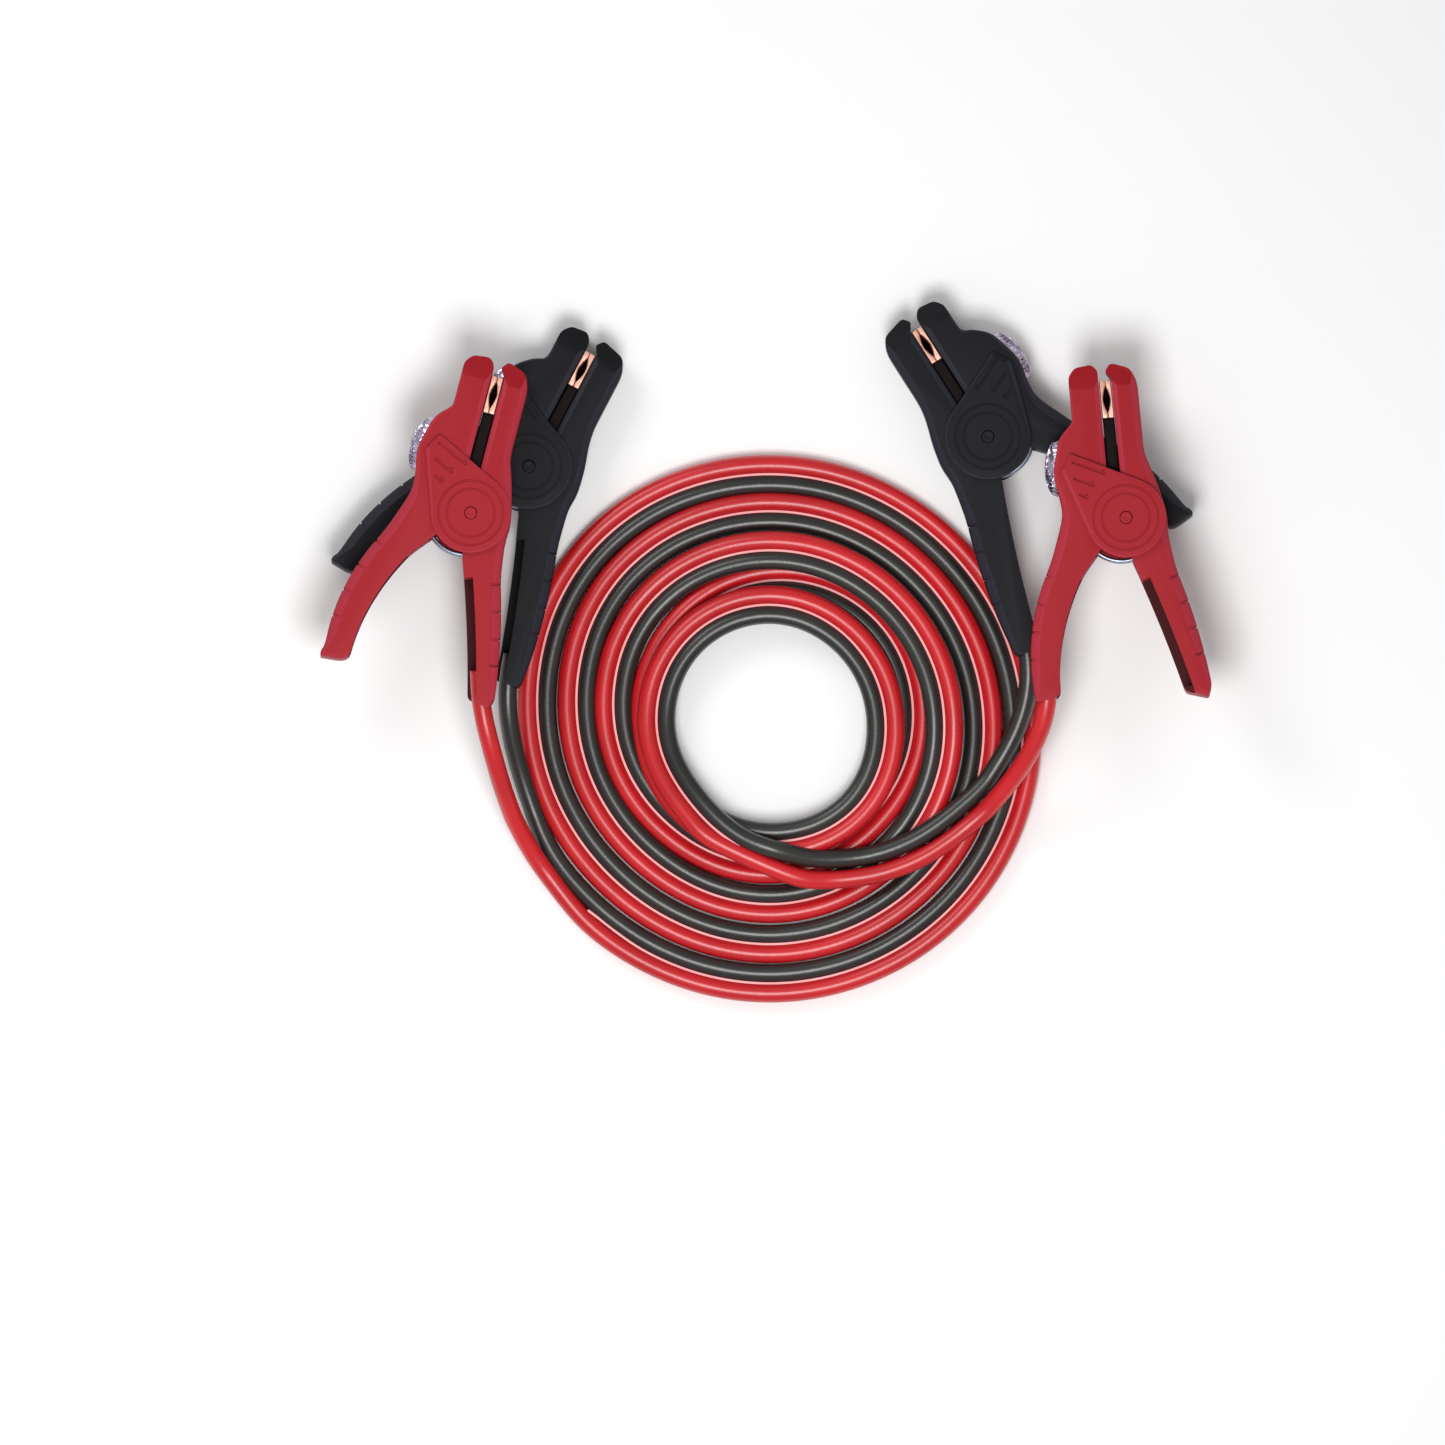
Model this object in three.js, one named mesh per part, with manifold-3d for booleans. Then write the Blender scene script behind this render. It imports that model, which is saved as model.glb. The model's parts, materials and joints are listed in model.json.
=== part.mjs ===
// Car jumper cable: a red and a black lead bonded side by side, laid in a flat coil,
// with a spring clamp on each of the four ends.
// Millimetres. +X is right and +Y is up in plan, +Z is up from the floor at z = 0.
import * as THREE from 'three';
import { mergeVertices } from 'three/addons/utils/BufferGeometryUtils.js';
import Module from 'manifold-3d';

const wasm = await Module();
wasm.setup();

// Cable
const cableDiameter = 9.35;
const cableSides = 8;
const cableInHandle = 14; // length of cable inside the end of a handle
const cableInset = 2; // the cable lies this far to the open side of the handle
const fit = 0.3; // gap that touching pieces keep

// Coil, lying flat on the floor
const coilCentre = [-3.5, -111.5];
const coilOuterRadius = 138;
const coilInnerRadius = 50;
const raisedOuterRadius = 69; // the innermost turn lies on the turn below it
const coilSegments = 56;

// Clamp, in its own plane: the pivot is the origin, the jaws point along +Y,
// half A is the cable half at +X and half B is the lamp half at -X
const bodyHalf = 10.8; // half of the thickness of a jaw and handle
const bodyChamfer = 2;
const coverThickness = 2.4;
const coverChamfer = 0.6;
const knuckleRadius = 15.6;
const runningGap = 0.5;
const pinRadius = 3;
const slitHalf = 3.3;
const noseHeight = 8; // the tip of jaw A leans over the slit above this
const noseOverhang = 2.8;
const jawWidthB = 14.8;
const tipCorner = 3.4;
const neckHeight = 32; // jaw A is straight above this and widens to the shoulder below it
const shoulderStart = [4, 23.6]; // how far the shoulder has widened, and its height there
const shoulderRound = [2.6, 12.5];
const shoulderTuck = [0.6, 9.4];
const knuckleSteps = 10;
const bossTop = 42.9;
const bossBrow = [3.4, 3.5]; // the boss stands this far out, this far below the lamp's middle
const bossLip = [0.8, 1]; // seat below the lamp
const bossCrown = 1.4;
const neckB = [8.5, 6.7, 9]; // where the boss runs into jaw B: from the lamp's middle, and up from its top
const waistHeight = 4;
const wallThickness = 2.6;
const channelStep = 4.4; // the front cheek of handle A is this much narrower than the back one
const channelStart = 0.16; // share of the handle's length above its channel
const tipLean = 0.55; // how far the handle's point leans outwards, as a share of its half width
const gripGroovePitch = 13.4;
const gripGrooveDepth = 0.9;
const gripGrooveWidth = 1.8;
const gripGrooveCount = 4;

// Pivot cover: a disc with a wing up to the outer corner of the boss
const wingTop = [-24.9, 34.6];
const wingSide = [-30.2, 25.7];
const slotWidth = 1.6;
const slotDepth = 0.9;
const slotRows = [
  [[-24.4, 30.2], [-8.4, 22.7]],
  [[-24.2, 22], [-14.4, 17.2]],
  [[-22.2, 13.7], [-17.8, 11.4]],
];

// Torsion spring, a little off the pivot so that it shows between the handles
const springCentre = [-2.5, -2];
const springOuterRadius = 20;
const springWire = 2.4;
const springHalf = 5.4;
const springPocketGap = 1.4;

// Lamp in the side of the boss
const lampCentre = [-31.2, 28.6];
const lampTurn = 6; // degrees that the lamp looks up from -X
const lampRadius = 14.2;
const lampHalf = 8.6;
const lampRise = 7;
const lampPocketDepth = 7;
const lampPocketFloor = 10.6; // radius of the pocket's floor
const lampRim = 1; // straight wall at the pocket's mouth
const reflectorDepth = 4.5;
const reflectorFloor = 9.9;
const reflectorRim = 1.5;
const bulbRadius = 3;

// Copper jaw plates and the liner below them
const copperTop = 8.6; // below the jaw tip
const copperHeight = 19;
const copperHalf = 8.6;
const biteHeight = 13.5;
const biteHalf = 1.7;
const biteFlare = 0.4; // the bite narrows by this from its middle to its flanks
const biteFlank = 2.7;
const linerHalf = 8;
const linerGap = 0.6; // between the liner's foot and the spring

// The two sizes of clamp; reach is along Y and spread along X, both from the pivot
const redClamp = {
  discRadius: 20,
  slitX: -4.1,
  jawReach: 78.4,
  jawWidthA: 12.8,
  shoulder: 20.7,
  handleA: {
    root: [9.8, -18], reach: 88, spread: 28.2, bow: 1.6, rootHalf: 9.2, endHalf: 6.8, slant: 5.4,
  },
  handleB: {
    root: [-25.4, -12], reach: 87, spread: 47, bow: 7.2, rootHalf: 8.6, endHalf: 6.4, slant: 0,
  },
};
const blackClamp = {
  discRadius: 21.5,
  slitX: 0.9,
  jawReach: 73.4,
  jawWidthA: 15.6,
  shoulder: 27.6,
  handleA: {
    root: [15.6, -18], reach: 100, spread: 40.6, bow: 2.4, rootHalf: 10.6, endHalf: 6.6, slant: 2.4,
  },
  handleB: {
    root: [-25.4, -12], reach: 88, spread: 58, bow: 7.2, rootHalf: 9, endHalf: 6.4, slant: 0,
  },
};

// Where the clamps lie: turn is in plan, counter-clockwise from jaws along +Y.
// All of them share one slope, because their cable ends lie up on the coil.
const clampSlope = -4.2; // degrees about X
const clampPlaces = [
  {
    name: 'black_left', size: blackClamp, cableHalf: 'A', pivot: [-120.2, 18.9], turn: -27.6, flipped: false,
  },
  {
    name: 'black_right', size: blackClamp, cableHalf: 'A', pivot: [109.3, 33.7], turn: 32.6, flipped: true,
  },
  {
    name: 'red_left', size: redClamp, cableHalf: 'A', pivot: [-149.3, -4.5], turn: -14.6, flipped: false,
    over: 'black_left',
  },
  {
    name: 'red_right', size: redClamp, cableHalf: 'B', pivot: [178.4, -6.8], turn: 5.4, flipped: false,
    over: 'black_right',
  },
];

const object = new THREE.Group();

const materials = {
  red: new THREE.MeshStandardMaterial({ color: '#a92b36', roughness: 0.5, metalness: 0 }),
  black: new THREE.MeshStandardMaterial({ color: '#22232a', roughness: 0.5, metalness: 0 }),
  redCable: new THREE.MeshStandardMaterial({ color: '#c8141e', roughness: 0.35, metalness: 0 }),
  blackCable: new THREE.MeshStandardMaterial({ color: '#2a2a28', roughness: 0.35, metalness: 0 }),
  copper: new THREE.MeshStandardMaterial({ color: '#e0a088', roughness: 0.3, metalness: 1 }),
  steel: new THREE.MeshStandardMaterial({ color: '#9aa3b5', roughness: 0.35, metalness: 1 }),
  liner: new THREE.MeshStandardMaterial({ color: '#1a0c10', roughness: 0.7, metalness: 0 }),
  chrome: new THREE.MeshStandardMaterial({ color: '#d8d8dc', roughness: 0.15, metalness: 1 }),
  lens: new THREE.MeshStandardMaterial({
    color: '#d8c8e0', roughness: 0.1, metalness: 0, opacity: 0.4, transparent: true,
  }),
};

// The leads between the clamps and the coil, chosen points from the handle on
const leadRuns = [
  {
    name: 'black_lead_left',
    clamp: 'black_left',
    material: materials.blackCable,
    points: [
      [-131.3, -104, 22.4], [-129.9, -113, 19.4], [-127.4, -124, 16.2], [-124.6, -134, 14.6], [-121, -144, 14.5],
    ],
  },
  {
    name: 'red_lead_left',
    clamp: 'red_left',
    material: materials.redCable,
    points: [
      [-139, -120, 49.5], [-136.9, -129.5, 43.5], [-133.8, -141, 34.8], [-129.4, -152.6, 25.6],
      [-124, -163.6, 18.6], [-117.6, -174.6, 15], [-111, -184, 14.5],
    ],
  },
  {
    name: 'black_lead_right',
    clamp: 'black_right',
    material: materials.blackCable,
    points: [
      [131.2, -81, 23.8], [130.9, -91, 22.3], [127.4, -105, 19], [120, -121.3, 15.5],
      [112.8, -132.6, 14.5], [103.9, -142.8, 14.5], [93.6, -151.8, 14.5], [84.1, -159.4, 14.5],
      [70.7, -167.6, 14.5], [55.4, -173.5, 14.5], [42, -176, 14.5],
    ],
  },
  {
    name: 'red_lead_right',
    clamp: 'red_right',
    material: materials.redCable,
    points: [
      [136.4, -112, 44.5], [129.5, -126.1, 34.5], [120.7, -138.6, 25], [110.8, -149.9, 18], [100, -159.5, 14.9],
      [89.6, -167.6, 14.5], [75, -176.6, 14.5], [57.9, -183.2, 14.5], [42, -186.2, 14.5], [28, -187, 14.5],
    ],
  },
];

// Booleans

function bare(geometry) {
  const copy = geometry.clone();
  copy.deleteAttribute('normal');
  copy.deleteAttribute('uv');
  return mergeVertices(copy, 1e-4);
}

function solidOf(geometry) {
  const merged = bare(geometry);
  const mesh = new wasm.Mesh({
    numProp: 3,
    vertProperties: new Float32Array(merged.attributes.position.array),
    triVerts: new Uint32Array(merged.index.array),
  });
  return new wasm.Manifold(mesh);
}

function geometryOf(solid) {
  const mesh = solid.getMesh();
  const geometry = new THREE.BufferGeometry();
  geometry.setAttribute('position', new THREE.BufferAttribute(new Float32Array(mesh.vertProperties), 3));
  geometry.setIndex(new THREE.BufferAttribute(new Uint32Array(mesh.triVerts), 1));
  geometry.computeVertexNormals();
  return geometry;
}

function cut(geometry, tools) {
  let solid = solidOf(geometry);
  for (const tool of tools) {
    solid = solid.subtract(solidOf(tool));
  }
  return geometryOf(solid);
}

// Outlines

function arcPoints(centre, radius, from, to, steps) {
  const points = [];
  for (let i = 0; i <= steps; i += 1) {
    const angle = THREE.MathUtils.degToRad(from + ((to - from) * i) / steps);
    points.push(new THREE.Vector2(centre[0] + radius * Math.cos(angle), centre[1] + radius * Math.sin(angle)));
  }
  return points;
}

function plate(points, half, chamfer) {
  const geometry = new THREE.ExtrudeGeometry(new THREE.Shape(points), {
    depth: 2 * (half - chamfer),
    bevelEnabled: chamfer > 0,
    bevelThickness: chamfer,
    bevelSize: chamfer,
    bevelOffset: -chamfer,
    bevelSegments: 1,
    curveSegments: 1,
  });
  geometry.translate(0, 0, -(half - chamfer));
  return geometry;
}

function cylinder(radius, height, sides, x = 0, y = 0) {
  const geometry = new THREE.CylinderGeometry(radius, radius, height, sides);
  geometry.rotateX(Math.PI / 2);
  geometry.translate(x, y, 0);
  return geometry;
}

function ring(inner, outer, half, sides) {
  const profile = [
    new THREE.Vector2(inner, -half),
    new THREE.Vector2(outer, -half),
    new THREE.Vector2(outer, half),
    new THREE.Vector2(inner, half),
    new THREE.Vector2(inner, -half),
  ];
  const geometry = new THREE.LatheGeometry(profile, sides);
  geometry.rotateX(Math.PI / 2);
  return geometry;
}

function angleOf(x, y) {
  return THREE.MathUtils.radToDeg(Math.atan2(y, x));
}

// The middle line of a handle bows outwards between its root and its end
function handleLine(handle, side) {
  const root = new THREE.Vector2(handle.root[0], handle.root[1]);
  const end = new THREE.Vector2(side * handle.spread, -handle.reach);
  const across = new THREE.Vector2(side, 0).multiplyScalar(2 * handle.bow);
  const middle = root.clone().lerp(end, 0.5).add(across);
  return new THREE.QuadraticBezierCurve(root, middle, end);
}

// which is 1 for the outer edge and -1 for the inner one; inset moves it inwards from the outline
function handleEdge(handle, side, which, steps, inset = 0, from = 0, to = 1) {
  const line = handleLine(handle, side);
  const points = [];
  for (let i = 0; i <= steps; i += 1) {
    const t = from + ((to - from) * i) / steps;
    const tangent = line.getTangent(t);
    const half = THREE.MathUtils.lerp(handle.rootHalf, handle.endHalf, t * t) - inset;
    const outwards = new THREE.Vector2(-tangent.y, tangent.x).multiplyScalar(half * side * which);
    points.push(line.getPoint(t).add(outwards));
  }
  return points;
}

// Half A: jaw, shoulder, knuckle and the channel handle

function outlineA(size) {
  const inner = size.slitX + slitHalf;
  const outer = inner + size.jawWidthA;
  const tip = size.jawReach;
  const start = angleOf(inner, Math.sqrt(knuckleRadius ** 2 - inner ** 2));
  const outerEdge = handleEdge(size.handleA, 1, 1, 6).slice(1);
  const innerEdge = handleEdge(size.handleA, 1, -1, 6).reverse();
  const line = handleLine(size.handleA, 1);
  const along = line.getTangent(1);
  const point = line.getPoint(1).addScaledVector(along, size.handleA.slant);
  point.addScaledVector(new THREE.Vector2(-along.y, along.x), size.handleA.endHalf * tipLean);
  return [
    new THREE.Vector2(inner, tip - noseHeight),
    new THREE.Vector2(inner - noseOverhang, tip - noseHeight / 2),
    new THREE.Vector2(inner, tip),
    new THREE.Vector2(outer - tipCorner, tip - tipCorner),
    new THREE.Vector2(outer, tip - 3 * tipCorner),
    new THREE.Vector2(outer, neckHeight),
    new THREE.Vector2(outer + shoulderStart[0] * (size.shoulder / outer - 1), shoulderStart[1]),
    new THREE.Vector2(size.shoulder - shoulderRound[0], shoulderRound[1]),
    new THREE.Vector2(size.shoulder, 0),
    new THREE.Vector2(size.shoulder - shoulderTuck[0], -shoulderTuck[1]),
    ...outerEdge,
    point,
    ...innerEdge,
    ...arcPoints([0, 0], knuckleRadius, 272, start, knuckleSteps),
  ];
}

// The space along the open side of a handle, from the given edge: which is 1 for the outer edge
// and -1 for the inner one, and the space starts at the given depth inside it.
// It runs out of the handle's end where the cable does, and stops short of it otherwise.
function channelCut(handle, side, which, depth, from, to, open) {
  const stop = open ? 1 : 1 - wallThickness / handle.reach;
  const outer = handleEdge(handle, side, which, 6, depth, channelStart, stop);
  const beyond = handleEdge(handle, side, -1, 6, -bodyChamfer, channelStart, stop);
  if (open) {
    const out = handleLine(handle, side).getTangent(1).multiplyScalar(handle.slant + cableDiameter);
    outer.push(outer.at(-1).clone().add(out));
    beyond.push(beyond.at(-1).clone().add(out));
  }
  const geometry = new THREE.ExtrudeGeometry(new THREE.Shape([...outer, ...beyond.reverse()]), {
    depth: to - from,
    bevelEnabled: false,
    curveSegments: 1,
  });
  geometry.translate(0, 0, from);
  return geometry;
}

function shellA(size, withCable) {
  const handle = size.handleA;
  const inside = bodyHalf - wallThickness;
  const body = plate(outlineA(size), bodyHalf, bodyChamfer);
  const tools = [
    cylinder(pinRadius + fit, 4 * bodyHalf, 20),
    springPocket(),
    channelCut(handle, 1, 1, wallThickness, -inside, inside, withCable),
    channelCut(handle, 1, -1, channelStep, inside - fit, bodyHalf + fit, true),
    ...gripGrooves(handle),
  ];
  return cut(body, tools);
}

function gripGrooves(handle) {
  const line = handleLine(handle, 1);
  const length = line.getLength();
  const grooves = [];
  for (let i = 0; i < gripGrooveCount; i += 1) {
    const t = (length * 0.2 + i * gripGroovePitch) / length;
    const half = THREE.MathUtils.lerp(handle.rootHalf, handle.endHalf, t * t);
    const tangent = line.getTangent(t);
    const place = line.getPoint(t).addScaledVector(new THREE.Vector2(-tangent.y, tangent.x), half);
    const groove = new THREE.BoxGeometry(2 * gripGrooveDepth, gripGrooveWidth, 3 * bodyHalf);
    groove.rotateZ(Math.atan2(tangent.y, tangent.x) + Math.PI / 2);
    groove.translate(place.x, place.y, 0);
    grooves.push(groove);
  }
  return grooves;
}

function springPocket() {
  const inner = springOuterRadius - springWire - springPocketGap;
  const pocket = ring(inner, springOuterRadius + springPocketGap, springHalf + fit, 28);
  pocket.translate(springCentre[0], springCentre[1], 0);
  return pocket;
}

// Half B: jaw, boss with the lamp, and the curved handle

function outlineB(size) {
  const inner = size.slitX - slitHalf;
  const outer = inner - jawWidthB;
  const tip = size.jawReach;
  const clear = knuckleRadius + runningGap;
  const start = angleOf(inner, Math.sqrt(clear ** 2 - inner ** 2));
  const outerEdge = handleEdge(size.handleB, -1, 1, 7).slice(1).reverse();
  const innerEdge = handleEdge(size.handleB, -1, -1, 7).slice(1);
  return [
    ...arcPoints([0, 0], clear, start, 225, 8),
    ...innerEdge,
    ...outerEdge,
    new THREE.Vector2(lampCentre[0], waistHeight),
    new THREE.Vector2(lampCentre[0] - bossLip[0], lampCentre[1] - lampRadius - bossLip[1]),
    new THREE.Vector2(lampCentre[0] - bossBrow[0], lampCentre[1] - bossBrow[1]),
    new THREE.Vector2(lampCentre[0] + bossCrown, bossTop),
    new THREE.Vector2(Math.min(outer, lampCentre[0] + neckB[0]), bossTop + neckB[1]),
    new THREE.Vector2(outer, bossTop + neckB[2]),
    new THREE.Vector2(outer, tip - 1.6 * tipCorner),
    new THREE.Vector2(outer + tipCorner, tip - 0.3 * tipCorner),
    new THREE.Vector2(inner - 0.8 * tipCorner, tip),
    new THREE.Vector2(inner, tip - tipCorner),
  ];
}

function lampPlace(geometry) {
  geometry.scale(1, 1, lampHalf / lampRadius);
  geometry.rotateZ(THREE.MathUtils.degToRad(90 - lampTurn));
  geometry.translate(lampCentre[0], lampCentre[1], 0);
  return geometry;
}

function lampTurned(profile, sides) {
  return lampPlace(new THREE.LatheGeometry(profile, sides));
}

function shellB(size, withCable) {
  const inside = bodyHalf - wallThickness;
  const pocket = [
    new THREE.Vector2(0, -lampPocketDepth),
    new THREE.Vector2(lampPocketFloor, -lampPocketDepth),
    new THREE.Vector2(lampRadius + fit, -lampRim),
    new THREE.Vector2(lampRadius + fit, 3 * lampRise),
    new THREE.Vector2(0, 3 * lampRise),
  ];
  const tools = [
    springPocket(),
    lampTurned(pocket, 24),
    channelCut(size.handleB, -1, 1, wallThickness, -inside, inside, withCable),
  ];
  return cut(plate(outlineB(size), bodyHalf, bodyChamfer), tools);
}

function lens() {
  const profile = [new THREE.Vector2(0, 0), new THREE.Vector2(lampRadius, 0)];
  const steps = 5;
  for (let i = 1; i <= steps; i += 1) {
    const angle = (Math.PI / 2) * (i / steps);
    const radius = i === steps ? 0 : lampRadius * Math.cos(angle);
    profile.push(new THREE.Vector2(radius, lampRise * Math.sin(angle)));
  }
  return lampTurned(profile, 24);
}

function reflector() {
  const floor = -lampPocketDepth + fit;
  const profile = [
    new THREE.Vector2(0, floor),
    new THREE.Vector2(reflectorFloor, floor),
    new THREE.Vector2(lampRadius - fit, -lampRim),
    new THREE.Vector2(lampRadius - fit, -fit),
    new THREE.Vector2(lampRadius - reflectorRim, -fit),
    new THREE.Vector2(bulbRadius, -fit - reflectorDepth),
    new THREE.Vector2(0, -fit - reflectorDepth),
  ];
  return lampTurned(profile, 20);
}

// Pivot cover: the disc and the two lines that touch it from the wing's corners

function coverOutline(size) {
  const radius = size.discRadius;
  const top = new THREE.Vector2(...wingTop);
  const side = new THREE.Vector2(...wingSide);
  const from = angleOf(top.x, top.y) - THREE.MathUtils.radToDeg(Math.acos(radius / top.length()));
  const to = angleOf(side.x, side.y) + THREE.MathUtils.radToDeg(Math.acos(radius / side.length()));
  return [side, top, ...arcPoints([0, 0], radius, from, to - 360, 22)];
}

function cover(size, face) {
  const half = coverThickness / 2;
  const middle = bodyHalf + fit + half;
  const blank = plate(coverOutline(size), half, coverChamfer);
  blank.translate(0, 0, face * middle);
  const tools = [cylinder(pinRadius + fit, 4 * bodyHalf, 20)];
  for (const [from, to] of slotRows) {
    const run = Math.hypot(to[0] - from[0], to[1] - from[1]);
    const slot = new THREE.BoxGeometry(run, slotWidth, 2 * slotDepth);
    slot.rotateZ(Math.atan2(to[1] - from[1], to[0] - from[0]));
    slot.translate((from[0] + to[0]) / 2, (from[1] + to[1]) / 2, face * (middle + half));
    tools.push(slot);
  }
  return cut(blank, tools);
}

function pin() {
  return cylinder(pinRadius, 2 * (bodyHalf + fit + coverThickness), 20);
}

function spring() {
  const geometry = ring(springOuterRadius - springWire, springOuterRadius, springHalf, 28);
  geometry.translate(springCentre[0], springCentre[1], 0);
  return geometry;
}

// Copper plate on the inner side of a jaw, hollowed to one half of the pointed bite
function copper(size, side) {
  const top = size.jawReach - copperTop;
  const middle = top - copperHeight / 2;
  const seat = size.slitX + side * (slitHalf - fit);
  const edge = size.slitX + side * (fit / 2);
  const bite = size.slitX + side * (fit / 2 + biteHalf);
  const points = [
    new THREE.Vector2(seat, top),
    new THREE.Vector2(edge, top),
    new THREE.Vector2(edge, middle + biteHeight / 2),
    new THREE.Vector2(bite - side * biteFlare, middle + biteFlank),
    new THREE.Vector2(bite, middle),
    new THREE.Vector2(bite - side * biteFlare, middle - biteFlank),
    new THREE.Vector2(edge, middle - biteHeight / 2),
    new THREE.Vector2(edge, top - copperHeight),
    new THREE.Vector2(seat, top - copperHeight),
  ];
  return plate(points, copperHalf, 0);
}

function liner(size) {
  const top = size.jawReach - copperTop - copperHeight - fit;
  const foot = springCentre[1] + springOuterRadius + linerGap;
  const left = size.slitX - slitHalf + runningGap;
  const right = size.slitX + slitHalf - fit;
  const points = [
    new THREE.Vector2(left, foot),
    new THREE.Vector2(right, foot),
    new THREE.Vector2(right, top),
    new THREE.Vector2(left, top),
  ];
  return plate(points, linerHalf, 0);
}

function named(name, geometry, material) {
  const mesh = new THREE.Mesh(geometry, material);
  mesh.name = name;
  return mesh;
}

function clamp(place) {
  const { name, size, cableHalf } = place;
  const plastic = size === redClamp ? materials.red : materials.black;
  const group = new THREE.Group();
  group.add(
    named(`${name}_ribbed_half`, shellA(size, cableHalf === 'A'), plastic),
    named(`${name}_lamp_half`, shellB(size, cableHalf === 'B'), plastic),
    named(`${name}_front_cover`, cover(size, 1), plastic),
    named(`${name}_back_cover`, cover(size, -1), plastic),
    named(`${name}_pivot_pin`, pin(), plastic),
    named(`${name}_spring`, spring(), materials.steel),
    named(`${name}_copper_a`, copper(size, 1), materials.copper),
    named(`${name}_copper_b`, copper(size, -1), materials.copper),
    named(`${name}_jaw_liner`, liner(size), materials.liner),
    named(`${name}_lens`, lens(), materials.lens),
    named(`${name}_reflector`, reflector(), materials.chrome),
  );
  const inPlan = new THREE.Group();
  inPlan.add(group);
  group.rotation.y = place.flipped ? Math.PI : 0;
  inPlan.rotation.z = THREE.MathUtils.degToRad(place.turn);
  const sloped = new THREE.Group();
  sloped.add(inPlan);
  sloped.rotation.x = THREE.MathUtils.degToRad(clampSlope);
  sloped.position.set(place.pivot[0], place.pivot[1], 0);
  return sloped;
}

// The black clamps rest on the floor by their jaw tips; each red clamp lies on the black one
function placeClamps() {
  const slope = THREE.MathUtils.degToRad(-clampSlope);
  const standing = {};
  const coverFace = bodyHalf + fit + coverThickness;
  for (const place of clampPlaces) {
    const group = clamp(place);
    if (place.over) {
      const lower = standing[place.over];
      const onLeft = place.over === 'black_left';
      const apart = coverFace + (onLeft ? coverFace : bodyHalf) + fit;
      const rise = Math.tan(slope) * (lower.place.pivot[1] - place.pivot[1]);
      group.position.z = lower.group.position.z + rise + apart / Math.cos(slope);
    } else {
      group.updateMatrixWorld(true);
      group.position.z = -new THREE.Box3().setFromObject(group, true).min.z;
    }
    standing[place.name] = { place, group };
    object.add(group);
  }
  return standing;
}

// The first two points of a lead, inside the handle's channel, in the object's own frame
function cableStart(standing, name) {
  const { place, group } = standing[name];
  const onA = place.cableHalf === 'A';
  const handle = onA ? place.size.handleA : place.size.handleB;
  const side = onA ? 1 : -1;
  const line = handleLine(handle, side);
  const along = line.getTangent(1);
  const inwards = new THREE.Vector2(along.y, -along.x).multiplyScalar(side * cableInset);
  const inner = group.children[0].children[0];
  group.updateMatrixWorld(true);
  return [cableInHandle, 0].map((back) => {
    const point = line.getPoint(1).add(inwards).addScaledVector(along, -back);
    return inner.localToWorld(new THREE.Vector3(point.x, point.y, 0));
  });
}

// The coil: a ring that shows each turn as a ridge, with the raised inner turn on top
function coil() {
  const profile = [new THREE.Vector2(coilInnerRadius, 0), new THREE.Vector2(coilOuterRadius, 0)];
  const ridges = Math.round((coilOuterRadius - raisedOuterRadius) / cableDiameter);
  const ridge = (coilOuterRadius - raisedOuterRadius) / ridges;
  for (let i = 0; i < ridges; i += 1) {
    const outer = coilOuterRadius - i * ridge;
    profile.push(new THREE.Vector2(outer, cableDiameter * 0.5));
    profile.push(new THREE.Vector2(outer - ridge / 2, cableDiameter));
  }
  profile.push(new THREE.Vector2(raisedOuterRadius, cableDiameter * 1.5));
  const step = (raisedOuterRadius - coilInnerRadius) / 4;
  profile.push(new THREE.Vector2(raisedOuterRadius - step, cableDiameter * 2));
  profile.push(new THREE.Vector2(raisedOuterRadius - 2 * step, cableDiameter * 1.5));
  profile.push(new THREE.Vector2(raisedOuterRadius - 3 * step, cableDiameter * 2));
  profile.push(new THREE.Vector2(coilInnerRadius, cableDiameter * 1.5));
  profile.push(new THREE.Vector2(coilInnerRadius, 0));
  const geometry = new THREE.LatheGeometry(profile, coilSegments);
  geometry.rotateX(Math.PI / 2);
  geometry.translate(coilCentre[0], coilCentre[1], 0);
  return geometry;
}

function lead(points) {
  const curve = new THREE.CatmullRomCurve3(points, false, 'centripetal');
  const radius = cableDiameter / 2;
  const section = [];
  for (let i = 0; i < cableSides; i += 1) {
    const angle = (2 * Math.PI * (i + 0.5)) / cableSides;
    section.push(new THREE.Vector2(radius * Math.cos(angle), radius * Math.sin(angle)));
  }
  const steps = Math.max(4, Math.round(curve.getLength() / (2.2 * cableDiameter)));
  return new THREE.ExtrudeGeometry(new THREE.Shape(section), { steps, extrudePath: curve, curveSegments: 1 });
}

const standing = placeClamps();
const clampBox = new THREE.Box3().setFromObject(object, true);
object.add(named('cable_coil', coil(), materials.redCable));
for (const run of leadRuns) {
  const points = run.points.map(([x, y, z]) => new THREE.Vector3(x, y, z));
  const start = cableStart(standing, run.clamp);
  object.add(named(run.name, lead([...start, ...points]), run.material));
}

// The origin is on the floor below the middle of the four clamps
const middle = clampBox.getCenter(new THREE.Vector3());
object.position.set(-middle.x, -middle.y, 0);

export default object;
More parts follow.
